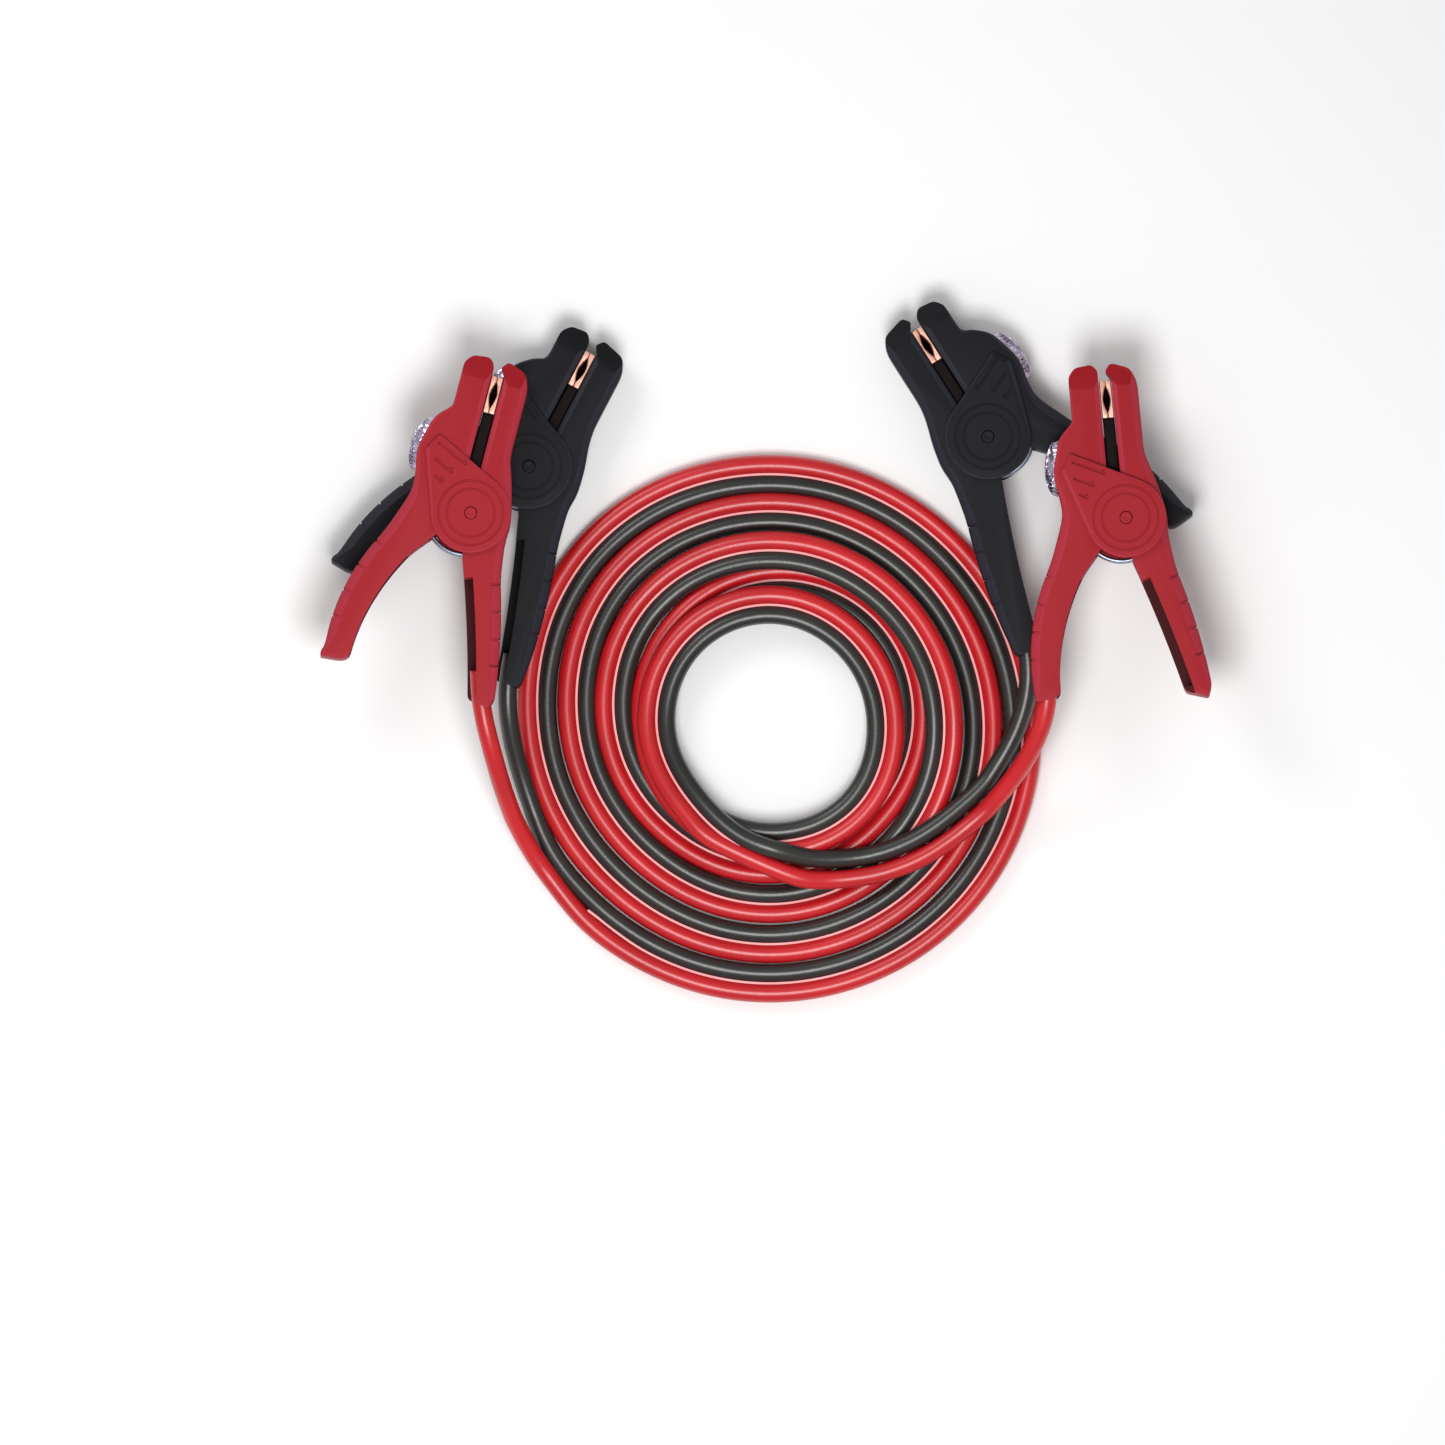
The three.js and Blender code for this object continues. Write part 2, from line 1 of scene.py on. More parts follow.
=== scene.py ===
# Car jumper cable: a coiled twin cable with four spring clamps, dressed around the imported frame.
import json
import math
import bpy
import numpy as np
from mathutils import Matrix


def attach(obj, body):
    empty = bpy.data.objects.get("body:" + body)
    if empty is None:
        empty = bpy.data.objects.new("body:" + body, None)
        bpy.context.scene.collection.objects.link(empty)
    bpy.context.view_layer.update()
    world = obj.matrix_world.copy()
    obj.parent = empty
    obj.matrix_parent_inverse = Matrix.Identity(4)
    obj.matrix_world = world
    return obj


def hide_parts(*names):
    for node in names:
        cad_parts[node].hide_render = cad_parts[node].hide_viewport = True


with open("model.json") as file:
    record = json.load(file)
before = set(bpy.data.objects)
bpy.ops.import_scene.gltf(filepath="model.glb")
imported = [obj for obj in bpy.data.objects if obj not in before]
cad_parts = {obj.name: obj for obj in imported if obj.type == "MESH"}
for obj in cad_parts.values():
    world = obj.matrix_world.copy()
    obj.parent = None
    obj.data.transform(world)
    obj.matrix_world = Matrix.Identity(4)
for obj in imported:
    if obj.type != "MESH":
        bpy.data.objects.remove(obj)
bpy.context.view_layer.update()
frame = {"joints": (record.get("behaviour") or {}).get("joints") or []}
mm = 0.001  # the shapes below are worked out in millimetres

# Straight down on the cable, as photographed: plan centre and height of the view
photoView = {"centre": (-22.545, -108.213), "height": 722.5, "lift": 900.0}

# Where the clamps lie: turn is in plan from jaws along +Y, and all share one slope about X
clampSlope = -4.2
clampPlaces = {
    "black_left": {"colour": "black", "turn": -27.6, "flipped": False, "cableHalf": "A"},
    "black_right": {"colour": "black", "turn": 32.6, "flipped": True, "cableHalf": "A"},
    "red_left": {"colour": "red", "turn": -14.6, "flipped": False, "cableHalf": "A"},
    "red_right": {"colour": "red", "turn": 5.4, "flipped": False, "cableHalf": "B"},
}
clampSizes = {
    "red": {
        "discRadius": 20.0, "slitX": -4.1, "jawReach": 78.4, "jawWidthA": 12.8, "shoulder": 20.7,
        "handleA": {"root": (9.8, -18), "reach": 88, "spread": 28.2, "bow": 1.6,
                    "rootHalf": 9.2, "endHalf": 6.8, "slant": 5.4},
        "handleB": {"root": (-25.4, -12), "reach": 87, "spread": 47, "bow": 7.2,
                    "rootHalf": 8.6, "endHalf": 6.4, "slant": 0},
    },
    "black": {
        "discRadius": 21.5, "slitX": 0.9, "jawReach": 73.4, "jawWidthA": 15.6, "shoulder": 27.6,
        "handleA": {"root": (15.6, -18), "reach": 100, "spread": 40.6, "bow": 2.4,
                    "rootHalf": 10.6, "endHalf": 6.6, "slant": 2.4},
        "handleB": {"root": (-25.4, -12), "reach": 88, "spread": 58, "bow": 7.2,
                    "rootHalf": 9, "endHalf": 6.4, "slant": 0},
    },
}


# Meshes from numpy grids

def gridFaces(rows, columns, closeRows=False, closeColumns=False):
    # Quads of a grid of rows x columns points, in row order. A closed direction joins its last
    # line to its first.
    r = np.arange(rows if closeRows else rows - 1)
    c = np.arange(columns if closeColumns else columns - 1)
    r, c = np.meshgrid(r, c, indexing="ij")
    r2, c2 = (r + 1) % rows, (c + 1) % columns
    quads = np.stack([r * columns + c, r * columns + c2, r2 * columns + c2, r2 * columns + c], axis=-1)
    return quads.reshape(-1, 4)


def makePiece(name, points, faces, material, smooth=True):
    # A mesh object from points in millimetres; faces is a list of index rows of any length.
    mesh = bpy.data.meshes.new(name)
    mesh.from_pydata((np.asarray(points) * mm).tolist(), [], [list(map(int, f)) for f in faces])
    mesh.materials.append(material)
    mesh.polygons.foreach_set("use_smooth", np.full(len(mesh.polygons), smooth))
    mesh.update()
    piece = bpy.data.objects.new(name, mesh)
    bpy.context.scene.collection.objects.link(piece)
    return piece


# Curves

def catmull(points, steps):
    # Catmull-Rom line through the points, with the given number of steps for each span.
    p = np.asarray(points, float)
    p = np.vstack([2 * p[0] - p[1], p, 2 * p[-1] - p[-2]])
    t = np.linspace(0, 1, steps, endpoint=False)[None, :, None]
    a, b, c, d = (p[i:len(p) - 3 + i, None, :] for i in range(4))
    line = 0.5 * (2 * b + (c - a) * t + (2 * a - 5 * b + 4 * c - d) * t**2 + (3 * b - a - 3 * c + d) * t**3)
    return np.vstack([line.reshape(-1, p.shape[1]), p[-2]])


def lengthAlong(points):
    # Distance from the start at each point: the running sum of the steps' lengths.
    return np.concatenate([[0], np.cumsum(np.linalg.norm(np.diff(points, axis=0), axis=1))])


def resample(points, spacing):
    # The same line with even spacing.
    along = lengthAlong(points)
    count = max(int(round(along[-1] / spacing)), 2)
    places = np.linspace(0, along[-1], count + 1)
    return np.stack([np.interp(places, along, points[:, i]) for i in range(points.shape[1])], axis=1)


def relax(points, rounds):
    # Each point moves halfway to the middle of its neighbours, the two ends stay.
    p = points.copy()
    for _ in range(rounds):
        p[1:-1] = 0.5 * p[1:-1] + 0.25 * (p[:-2] + p[2:])
    return p


def unit(v):
    # Each vector divided by its length.
    return v / np.maximum(np.linalg.norm(v, axis=-1, keepdims=True), 1e-9)


def tubeAlong(path, radius, sides):
    # Rings of the given radius round the path, upright to it: side = level normal, up = tangent x side.
    tangent = unit(np.gradient(path, axis=0))
    side = unit(np.cross(tangent, [0.0, 0.0, 1.0]))
    up = np.cross(side, tangent)
    angle = np.linspace(0, 2 * math.pi, sides, endpoint=False)[None, :, None]
    rings = path[:, None, :] + radius * (np.cos(angle) * side[:, None, :] + np.sin(angle) * up[:, None, :])
    faces = [list(f) for f in gridFaces(len(path), sides, closeColumns=True)]
    last = (len(path) - 1) * sides
    faces.append(list(range(sides))[::-1])
    faces.append([last + i for i in range(sides)])
    return rings.reshape(-1, 3), faces


# Clamp frames: a point of the clamp's own plane, pivot at zero and jaws along +Y, to its place

def turnAbout(axis, degrees):
    # The rotation matrix about one axis, right-handed.
    c, s = math.cos(math.radians(degrees)), math.sin(math.radians(degrees))
    matrix = {"x": [[1, 0, 0], [0, c, -s], [0, s, c]],
              "y": [[c, 0, s], [0, 1, 0], [-s, 0, c]],
              "z": [[c, -s, 0], [s, c, 0], [0, 0, 1]]}
    return np.array(matrix[axis], float)


def clampFrame(name):
    # A clamp's axes, turned in plan and then leant, and its pivot, which is its hinge's own place.
    place = clampPlaces[name]
    joint = next(j for j in frame["joints"] if j["name"] == name + "_hinge")
    basis = turnAbout("x", clampSlope) @ turnAbout("z", place["turn"])
    if place["flipped"]:
        basis = basis @ turnAbout("y", 180)
    return basis, np.array(joint["pos_m"], float) / mm


def placed(name, points):
    # Points of a clamp's own frame in the scene: each one times the clamp's axes, plus its pivot.
    basis, pivot = clampFrame(name)
    return np.asarray(points, float) @ basis.T + pivot


def handleLine(handle, side, t):
    # Middle line of a handle: a quadratic curve that bows outwards, and its unit direction.
    t = np.asarray(t, float)[..., None]
    root = np.array(handle["root"], float)
    end = np.array([side * handle["spread"], -handle["reach"]], float)
    middle = 0.5 * (root + end) + np.array([side * 2 * handle["bow"], 0])
    point = (1 - t)**2 * root + 2 * t * (1 - t) * middle + t**2 * end
    along = unit(2 * (1 - t) * (middle - root) + 2 * t * (end - middle))
    return point, along


# Shader maths: a wrapped socket, so that masks and colours read as sums

class Wire:
    def __init__(self, finish, socket):
        self.finish = finish
        self.socket = socket

    def math(self, operation, first, second=0.0):
        return self.finish.node("ShaderNodeMath", {"operation": operation}, {0: first, 1: second})

    def __add__(self, other): return self.math("ADD", self, other)
    def __radd__(self, other): return self.math("ADD", other, self)
    def __sub__(self, other): return self.math("SUBTRACT", self, other)
    def __rsub__(self, other): return self.math("SUBTRACT", other, self)
    def __mul__(self, other): return self.math("MULTIPLY", self, other)
    def __rmul__(self, other): return self.math("MULTIPLY", other, self)

    def between(self, low, high):
        # 0 below low, 1 above high and a smooth step between.
        return self.finish.node("ShaderNodeMapRange", {"interpolation_type": "SMOOTHSTEP"},
                                {"Value": self, "From Min": low, "From Max": high})


class Finish:
    # A material with one Principled shader.

    def __init__(self, name):
        self.material = bpy.data.materials.new(name)
        self.material.use_nodes = True
        self.tree = self.material.node_tree
        self.tree.nodes.clear()
        self.shader = self.tree.nodes.new("ShaderNodeBsdfPrincipled")
        output = self.tree.nodes.new("ShaderNodeOutputMaterial")
        self.tree.links.new(self.shader.outputs[0], output.inputs[0])

    def node(self, kind, settings, inputs, output=0):
        item = self.tree.nodes.new(kind)
        for key, value in settings.items():
            setattr(item, key, value)
        for key, value in inputs.items():
            self.feed(item.inputs[key], value)
        return Wire(self, item.outputs[output])

    def feed(self, socket, value):
        if isinstance(value, Wire):
            self.tree.links.new(value.socket, socket)
        else:
            socket.default_value = value

    def set(self, **values):
        for key, value in values.items():
            self.feed(self.shader.inputs[key.replace("_", " ")], value)
        return self

    def place(self):
        return self.node("ShaderNodeTexCoord", {}, {}, "Object")

    def noise(self, scale, detail=2.0, roughness=0.5):
        return self.node("ShaderNodeTexNoise", {}, {
            "Vector": self.place(), "Scale": scale, "Detail": detail, "Roughness": roughness})

    def mix(self, factor, first, second):
        return self.node("ShaderNodeMix", {"data_type": "RGBA"}, {0: factor, 6: first, 7: second}, 2)

    def bump(self, height, strength, distance):
        return self.node("ShaderNodeBump", {}, {"Height": height, "Strength": strength, "Distance": distance})

    def attribute(self, name):
        return self.node("ShaderNodeAttribute", {"attribute_name": name}, {}, "Fac")


def linear(hexCode):
    # A colour as painters write it, made linear.
    values = [int(hexCode[i:i + 2], 16) / 255 for i in (1, 3, 5)]
    return tuple(v / 12.92 if v <= 0.04045 else ((v + 0.055) / 1.055)**2.4 for v in values) + (1.0,)


# Cable jackets: smooth flexible vinyl with a faint mould grain and slow colour drift

def jacket(name, deep, plain):
    # Two near tones mixed by slow noise; a fine grain gives the roughness and the bump.
    f = Finish(name)
    drift = f.noise(18.0, 3.0).between(0.3, 0.7)
    grain = f.noise(900.0, 2.0)
    f.set(Base_Color=f.mix(drift, linear(deep), linear(plain)),
          Roughness=0.3 + 0.1 * grain,
          Normal=f.bump(grain, 0.12, 0.0004))
    f.set(Specular_IOR_Level=0.5, Coat_Weight=0.25, Coat_Roughness=0.22)
    return f.material


redJacket = jacket("red_jacket", "#B80F18", "#CC1620")
blackJacket = jacket("black_jacket", "#1C1C1B", "#292927")
# The bonded web between the jackets, pale pink: a painted highlight along the groove where they join.
seamHighlightFinish = Finish("seam_painted_highlight")
seamHighlightFinish.set(Base_Color=seamHighlightFinish.mix(seamHighlightFinish.noise(60.0), linear("#F0888A"), linear("#F8B0B0")),
               Roughness=0.45)

# The cable. The coil runs counter-clockwise from the left, red outside and black inside.
# Radii of the pair's middle line and its level above the floor in cable diameters are
# given at each eighth of a turn, from the left (180 degrees) on.
cable = {
    "diameter": 9.35, "apart": 9.85, "sides": 16, "step": 2.6, "lift": 0.15,
    "inHandle": 14, "inset": 2,
    "redLength": 3.3, "blackLength": 3.0,
    # how often the whole line is relaxed, and how many points at each end, how often
    "relaxed": 6, "softEnd": 34, "softRelaxed": 60,
    # first and last angle of each line round the coil, counted on over all its turns
    "pairTurns": (180, 2070), "redTurns": (226, 2055), "blackTurns": (208, 2070), "seamTurns": (225, 2055),
    "centre": (2.2, -109.96),
    "radii": [
        (136.2, 130.2, 128.8, 127.6, 125.4, 124.7, 126.0, 125.8),
        (117.0, 110.2, 109.2, 107.5, 106.0, 105.8, 107.5, 106.5),
        (97.2, 90.2, 89.2, 87.3, 86.3, 86.5, 88.0, 86.8),
        (78.8, 71.4, 69.5, 67.4, 70.5, 74.3, 73.0, 66.8),
        (61.0, 58.6, 58.0, 58.8, 57.0, 58.2, 60.8, 60.6),
        (57.9, 56.4, 66.5),
    ],
    "levels": [
        (0, 0, 0, 0, 0, 0, 0, 0),
        (0, 0, 0, 0, 0, 0, 0, 0),
        (0, 0, 0, 0, 1, 1, 0.9, 0.1),
        (0, 0, 0, 0, 0, 0, 0, 0),
        (0, 0.7, 1, 1, 1, 1, 1, 1),
        (1, 1.7, 1.95),
    ],
    "seamWidth": 1.1, "seamHeight": 4.6,
}
# The leads between the handles and the coil, from the handle on, and the crossing over the turns
cableShift = (0.855, 0.137)
leadPoints = {
    "black_left": [(-131.3, -104, 22.4), (-129.9, -113, 18.4), (-127.4, -124, 12.9), (-124.6, -134, 8.6),
                   (-121, -144, 6)],
    "red_left": [(-139, -120, 49.5), (-136.9, -129.5, 43.8), (-133.8, -141, 34.5), (-129.4, -152.6, 24.5),
                 (-124, -163.6, 16), (-117.6, -174.6, 10), (-111, -184, 6.6)],
    "black_right": [(131.2, -81, 23.8), (130.9, -91, 22.3), (127.4, -105, 19), (120, -121.3, 15.5),
                    (112.8, -132.6, 14.5), (103.9, -142.8, 14.5), (93.6, -151.8, 14.5), (84.1, -159.4, 14.5),
                    (70.7, -167.6, 14.5), (55.4, -173.5, 14.5), (42, -176, 14.5), (22, -176.4, 17.5)],
    "red_right": [(136.4, -112, 44.5), (129.5, -126.1, 34.5), (120.7, -138.6, 25), (110.8, -149.9, 18),
                  (100, -159.5, 14.9), (89.6, -167.6, 14.5), (75, -176.6, 14.5), (57.9, -183.2, 14.5),
                  (42, -186.2, 14.5), (28, -187, 15.4), (12, -185.2, 19.5)],
}


def cableStart(name):
    # Two points of the cable inside the channel of its handle, the second where it leaves the handle.
    place = clampPlaces[name]
    size = clampSizes[place["colour"]]
    side = 1 if place["cableHalf"] == "A" else -1
    end, along = handleLine(size["handle" + place["cableHalf"]], side, 1.0)
    inwards = np.array([along[1], -along[0]]) * side * cable["inset"]
    back = np.array([cable["inHandle"], 0.0])[:, None]
    flat = end + inwards - back * along
    return placed(name, np.hstack([flat, np.zeros((2, 1))]))


def leadLine(name):
    # A lead from inside its handle to the coil: its points moved by the cable's shift.
    points = np.array(leadPoints[name], float) + np.array([*cableShift, 0])
    return np.vstack([cableStart(name), points])


def coilLine(firstAngle, lastAngle, every=15):
    # The pair's middle line: radius and level run smoothly through their values at the eighths of a turn.
    radii = np.concatenate(cable["radii"])
    levels = np.concatenate(cable["levels"])
    steps = 12  # of the smooth values, in each eighth of a turn
    smooth = catmull(np.stack([radii, levels], axis=1), steps)
    angle = np.arange(firstAngle, lastAngle + 0.1, every)
    at = (angle - cable["pairTurns"][0]) / 45 * steps
    radius = np.interp(at, np.arange(len(smooth)), smooth[:, 0])
    level = np.clip(np.interp(at, np.arange(len(smooth)), smooth[:, 1]), 0, None)
    turn = np.radians(angle)
    x = cable["centre"][0] + radius * np.cos(turn)
    y = cable["centre"][1] + radius * np.sin(turn)
    return np.stack([x, y, (level + 0.5) * cable["diameter"] + cable["lift"]], axis=1)


def beside(line, offset):
    # The line moved sideways in plan, to the right of its direction.
    tangent = unit(np.gradient(line[:, :2], axis=0))
    moved = line.copy()
    moved[:, 0] += tangent[:, 1] * offset
    moved[:, 1] -= tangent[:, 0] * offset
    return moved


def strandLine(left, right, offset, first, last):
    # One conductor from handle to handle: lead, its side of the pair round the coil, lead.
    start, end = leadLine(left), leadLine(right)[::-1]
    fine = 6  # steps of the pair's line to each point that is kept
    pair = catmull(coilLine(*cable["pairTurns"]), fine)
    angle = np.linspace(*cable["pairTurns"], len(pair))
    coil = beside(pair, offset)[(angle >= first) & (angle <= last)][::fine]
    line = resample(catmull(np.vstack([start, coil, end]), 8), cable["step"])
    line = relax(line, cable["relaxed"])
    # the leads turn gently where they leave the handles
    ends = cable["softEnd"]
    line[:ends] = relax(line[:ends], cable["softRelaxed"])
    line[-ends:] = relax(line[-ends:], cable["softRelaxed"])
    return line


def strand(name, line, material, exitPoint):
    # A round jacket along the line.
    points, faces = tubeAlong(line, cable["diameter"] / 2, cable["sides"])
    piece = makePiece(name, points, faces, material)
    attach(piece, "cable_set")
    tuple(exitPoint * mm)
    (line * mm).tolist()
    return piece


def makeCable():
    # The two leads, each half the pair's spacing to its side of the middle line, and their seam.
    apart = cable["apart"] / 2
    redLine = strandLine("red_left", "red_right", apart, *cable["redTurns"])
    blackLine = strandLine("black_left", "black_right", -apart, *cable["blackTurns"])
    for name, line in (("red", redLine), ("black", blackLine)):
        print(name, "strand", round(lengthAlong(line)[-1], 1), "mm")
    red = strand("red_cable", redLine, redJacket, cableStart("red_left")[1])
    black = strand("black_cable", blackLine, blackJacket, cableStart("black_left")[1])
    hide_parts("cable_coil", "red_lead_left", "red_lead_right")
    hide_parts("black_lead_left", "black_lead_right")
    makeSeam()


def makeSeam():
    # The thin bonded web in the groove between the two jackets: a flat profile, upright to the line, coloured
    # pale pink as a painted highlight.
    fine = catmull(coilLine(*cable["seamTurns"]), 6)
    middle = relax(resample(fine, cable["step"]), cable["relaxed"])
    web = np.array([(-1, -1), (1, -1), (1, 1), (-1, 1)]) * [cable["seamWidth"] / 2, cable["seamHeight"] / 2]
    tangent = unit(np.gradient(middle, axis=0))
    side = unit(np.cross(tangent, [0.0, 0.0, 1.0]))
    up = np.cross(side, tangent)
    rings = middle[:, None] + web[None, :, :1] * side[:, None] + web[None, :, 1:] * up[:, None]
    faces = [list(f) for f in gridFaces(len(middle), 4, closeColumns=True)]
    last = 4 * (len(middle) - 1)
    faces += [[3, 2, 1, 0], [last, last + 1, last + 2, last + 3]]
    seam = makePiece("cable_seam", rings.reshape(-1, 3), faces, seamHighlightFinish.material, smooth=False)
    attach(seam, "cable_set")


# Clamp materials

def mouldedPlastic(name, plain, strip, deep, inside):
    # Satin plastic. The painted-light attribute mixes towards the strip colour above 0, a painted sheen
    # on the chamfers, and towards the deep one below 0, painted shade on the jaw tips' facets; from -1 to -2
    # it mixes towards the colour of the inside, painted shade in the recesses. The deep colour also drifts in
    # at random.
    f = Finish(name)
    paintedLight = f.attribute("paintedLight")
    drift = f.noise(40.0, 3.0).between(0.3, 0.7)
    grain = f.noise(1400.0, 2.0)
    body = f.mix(drift * 0.16, linear(plain), linear(deep))
    # painted sheen on the chamfers, then painted shade on the tip facets and in the recesses
    withSheen = f.mix(paintedLight.between(0.0, 1.0), body, linear(strip))
    sunk = f.mix((0.0 - paintedLight).between(0.0, 1.0), withSheen, linear(deep))
    f.set(Base_Color=f.mix((0.0 - paintedLight).between(1.0, 2.0), sunk, linear(inside)),
          Roughness=0.46 + 0.12 * grain, Normal=f.bump(grain, 0.16, 0.0003))
    f.set(Specular_IOR_Level=0.16)
    return f.material


def brightMetal(name, plain, worn, rough, scale):
    # Plated metal: fine marks mix the plain colour with the worn one and roughen it.
    f = Finish(name)
    marks = f.noise(scale, 4.0, 0.6)
    f.set(Base_Color=f.mix(marks.between(0.35, 0.75), linear(plain), linear(worn)),
          Roughness=rough + 0.18 * marks, Normal=f.bump(marks, 0.08, 0.0002))
    f.set(Metallic=1.0)
    return f.material


def shadeBlockFinish():
    # Near-black matt finish of the block between the jaws, painted shade for the channel there: a fine grain
    # mixes two near blacks and roughens them.
    f = Finish("channel_shade_black")
    grain = f.noise(700.0)
    f.set(Base_Color=f.mix(grain, linear("#0C0506"), linear("#16090B")), Roughness=0.6 + 0.2 * grain)
    f.set(Specular_IOR_Level=0.15)
    return f.material


def clearMould():
    # Clear plastic that light passes through, with a faint ripple.
    f = Finish("clear_mould")
    grain = f.noise(260.0, 1.0)
    f.set(Roughness=0.04 + 0.05 * grain, Normal=f.bump(grain, 0.1, 0.0002))
    f.set(Base_Color=linear("#F2EAF8"), Transmission_Weight=1.0, IOR=1.3)
    return f.material


# Per colour: plain, a painted sheen for the chamfers, a darker tone that drifts at random and paints shade on
# the tip facets, and painted shade for the recesses
plastics = {
    "red": mouldedPlastic("red_plastic", "#A2212B", "#AC2F3E", "#98151E", "#42060C"),
    "black": mouldedPlastic("black_plastic", "#17181D", "#2A2A33", "#101115", "#060608"),
}
copper = brightMetal("bright_copper", "#F7C9B6", "#E2A48E", 0.34, 300.0)
springSteel = brightMetal("zinc_wire", "#A2ABBC", "#8790A2", 0.26, 500.0)
brightBowl = brightMetal("bright_bowl", "#E4E0EA", "#C8C4D4", 0.08, 200.0)
# the near-black block between the jaws is painted shade for the channel there
channelShade = shadeBlockFinish()
clearLens = clearMould()


# Plates: an outline in plan with a chamfer of its own along each edge

# Slope of a chamfer, rounding of the inner outline's corners as a share of the outer's, the angle
# in degrees from which an edge is sharp, and the rings of one side: share of the way inwards, and
# drop as a share of the chamfer's depth
plate = {"slope": 0.7, "innerCorner": 0.7, "crease": 38,
         "rings": [(1.0, 0.0), (0.9, 0.03), (0.08, 0.88), (0.0, 1.06)]}


def twiceArea(outline):
    # The sum of x times the next y less the next x times y, above 0 for a counter-clockwise outline.
    x, y = outline[:, 0], outline[:, 1]
    return float(np.sum(x * np.roll(y, -1) - np.roll(x, -1) * y))


def inwardNormals(points):
    # The unit normal of each edge, to its left.
    edge = np.roll(points, -1, axis=0) - points
    return unit(np.stack([-edge[:, 1], edge[:, 0]], axis=1))


def mitre(points, widths):
    # The outline moved inwards, each edge by its own width: two moved edges meet at each corner.
    normal = inwardNormals(points)
    before, own = np.roll(normal, 1, axis=0), normal
    w0, w1 = np.roll(widths, 1), widths
    cross = before[:, 0] * own[:, 1] - before[:, 1] * own[:, 0]
    steady = np.abs(cross) > 0.25
    safe = np.where(steady, cross, 1.0)
    x = (w0 * own[:, 1] - w1 * before[:, 1]) / safe
    y = (w1 * before[:, 0] - w0 * own[:, 0]) / safe
    flat = unit(before + own) * (0.5 * (w0 + w1))[:, None]
    return points + np.where(steady[:, None], np.stack([x, y], axis=1), flat)


def roundOff(points, cuts, steps):
    # Each corner as a quadratic curve that starts and ends the given distance along its edges.
    before, after = np.roll(points, 1, axis=0) - points, np.roll(points, -1, axis=0) - points
    near = np.minimum(cuts / np.maximum(np.linalg.norm(before, axis=1), 1e-6), 0.45)[:, None, None]
    far = np.minimum(cuts / np.maximum(np.linalg.norm(after, axis=1), 1e-6), 0.45)[:, None, None]
    t = np.linspace(0, 1, steps)[None, :, None]
    p, a, b = points[:, None], before[:, None], after[:, None]
    return (p + (1 - t)**2 * near * a + t**2 * far * b).reshape(-1, 2)


def plateBody(outline, half, slope=plate["slope"], middle=0.0, steps=5):
    # A plate from rows of x, y, chamfer width of the edge that follows and rounding of the corner.
    # The rings run from the lower face over the chamfers to the upper face, softened at both creases.
    edges = np.array(outline, float)
    if twiceArea(edges) < 0:
        edges = edges[::-1].copy()
        edges[:, 2] = np.roll(edges[:, 2], -1)
    corners, width, rounding = edges[:, :2], edges[:, 2], edges[:, 3]
    depth = np.repeat(slope * 0.5 * (width + np.roll(width, 1)), steps)
    outside = roundOff(corners, rounding, steps)
    inside = roundOff(mitre(corners, width), plate["innerCorner"] * rounding, steps)
    rings = []
    for sign, order in ((-1, plate["rings"]), (1, plate["rings"][::-1])):
        for share, drop in order:
            plan = outside + share * (inside - outside)
            rings.append(np.column_stack([plan, middle + sign * (half - drop * depth)]))
    count = len(outside)
    faces = [list(f) for f in gridFaces(len(rings), count, closeColumns=True)]
    top = (len(rings) - 1) * count
    faces.append(list(range(count))[::-1])
    faces.append([top + i for i in range(count)])
    return np.concatenate(rings), faces


def prism(polygon, low, high, along="z"):
    # A polygon carried straight: in plan along z, or in y and z along x.
    p = np.array(polygon, float)
    if twiceArea(p) < 0:
        p = p[::-1]
    n = len(p)
    flat = [np.column_stack([p, np.full(n, v)]) for v in (low, high)]
    points = np.concatenate(flat)
    if along == "x":
        points = points[:, [2, 0, 1]]
    faces = [[i, (i + 1) % n, n + (i + 1) % n, n + i] for i in range(n)]
    return points, faces + [list(range(n))[::-1], [n + i for i in range(n)]]


def turned(profile, sides, closed=False):
    # A profile of radius and height turned about z; an open one starts and ends on the axis.
    p = np.array(profile, float)
    angle = np.linspace(0, 2 * math.pi, sides, endpoint=False)
    if closed:
        r, h = p[:, 0][:, None], p[:, 1][:, None] + 0 * angle
        points = np.stack([r * np.cos(angle), r * np.sin(angle), h], axis=-1).reshape(-1, 3)
        faces = gridFaces(len(p), sides, closeRows=True, closeColumns=True).tolist()
        return points, [f[::-1] for f in faces] if twiceArea(p) < 0 else faces
    inner = p[1:-1]
    r, h = inner[:, 0][:, None], inner[:, 1][:, None] + 0 * angle
    ring = np.stack([r * np.cos(angle), r * np.sin(angle), h], axis=-1).reshape(-1, 3)
    points = np.vstack([ring, [0, 0, p[0, 1]], [0, 0, p[-1, 1]]])
    faces = gridFaces(len(inner), sides, closeColumns=True).tolist()
    first, last = len(ring), len(ring) + 1
    top = (len(inner) - 1) * sides
    faces += [[first, (i + 1) % sides, i] for i in range(sides)]
    faces += [[last, top + i, top + (i + 1) % sides] for i in range(sides)]
    return points, faces if twiceArea(p) > 0 else [f[::-1] for f in faces]


def temporary(points, faces):
    # An object for the cuts alone, in the clamp's own millimetres.
    mesh = bpy.data.meshes.new("shape")
    mesh.from_pydata(np.asarray(points).tolist(), [], faces)
    shape = bpy.data.objects.new("shape", mesh)
    bpy.context.scene.collection.objects.link(shape)
    return shape


# Rise of a face, 1 where it lies level: chamfers lie between the first two values, the facets of
# the tips between the second and third, and level faces above the third. A level face counts as
# inside up to sunk past the height of the inner faces.
faceRise = {"chamfer": 0.6, "facet": 0.9, "level": 0.97, "sunk": 0.5}


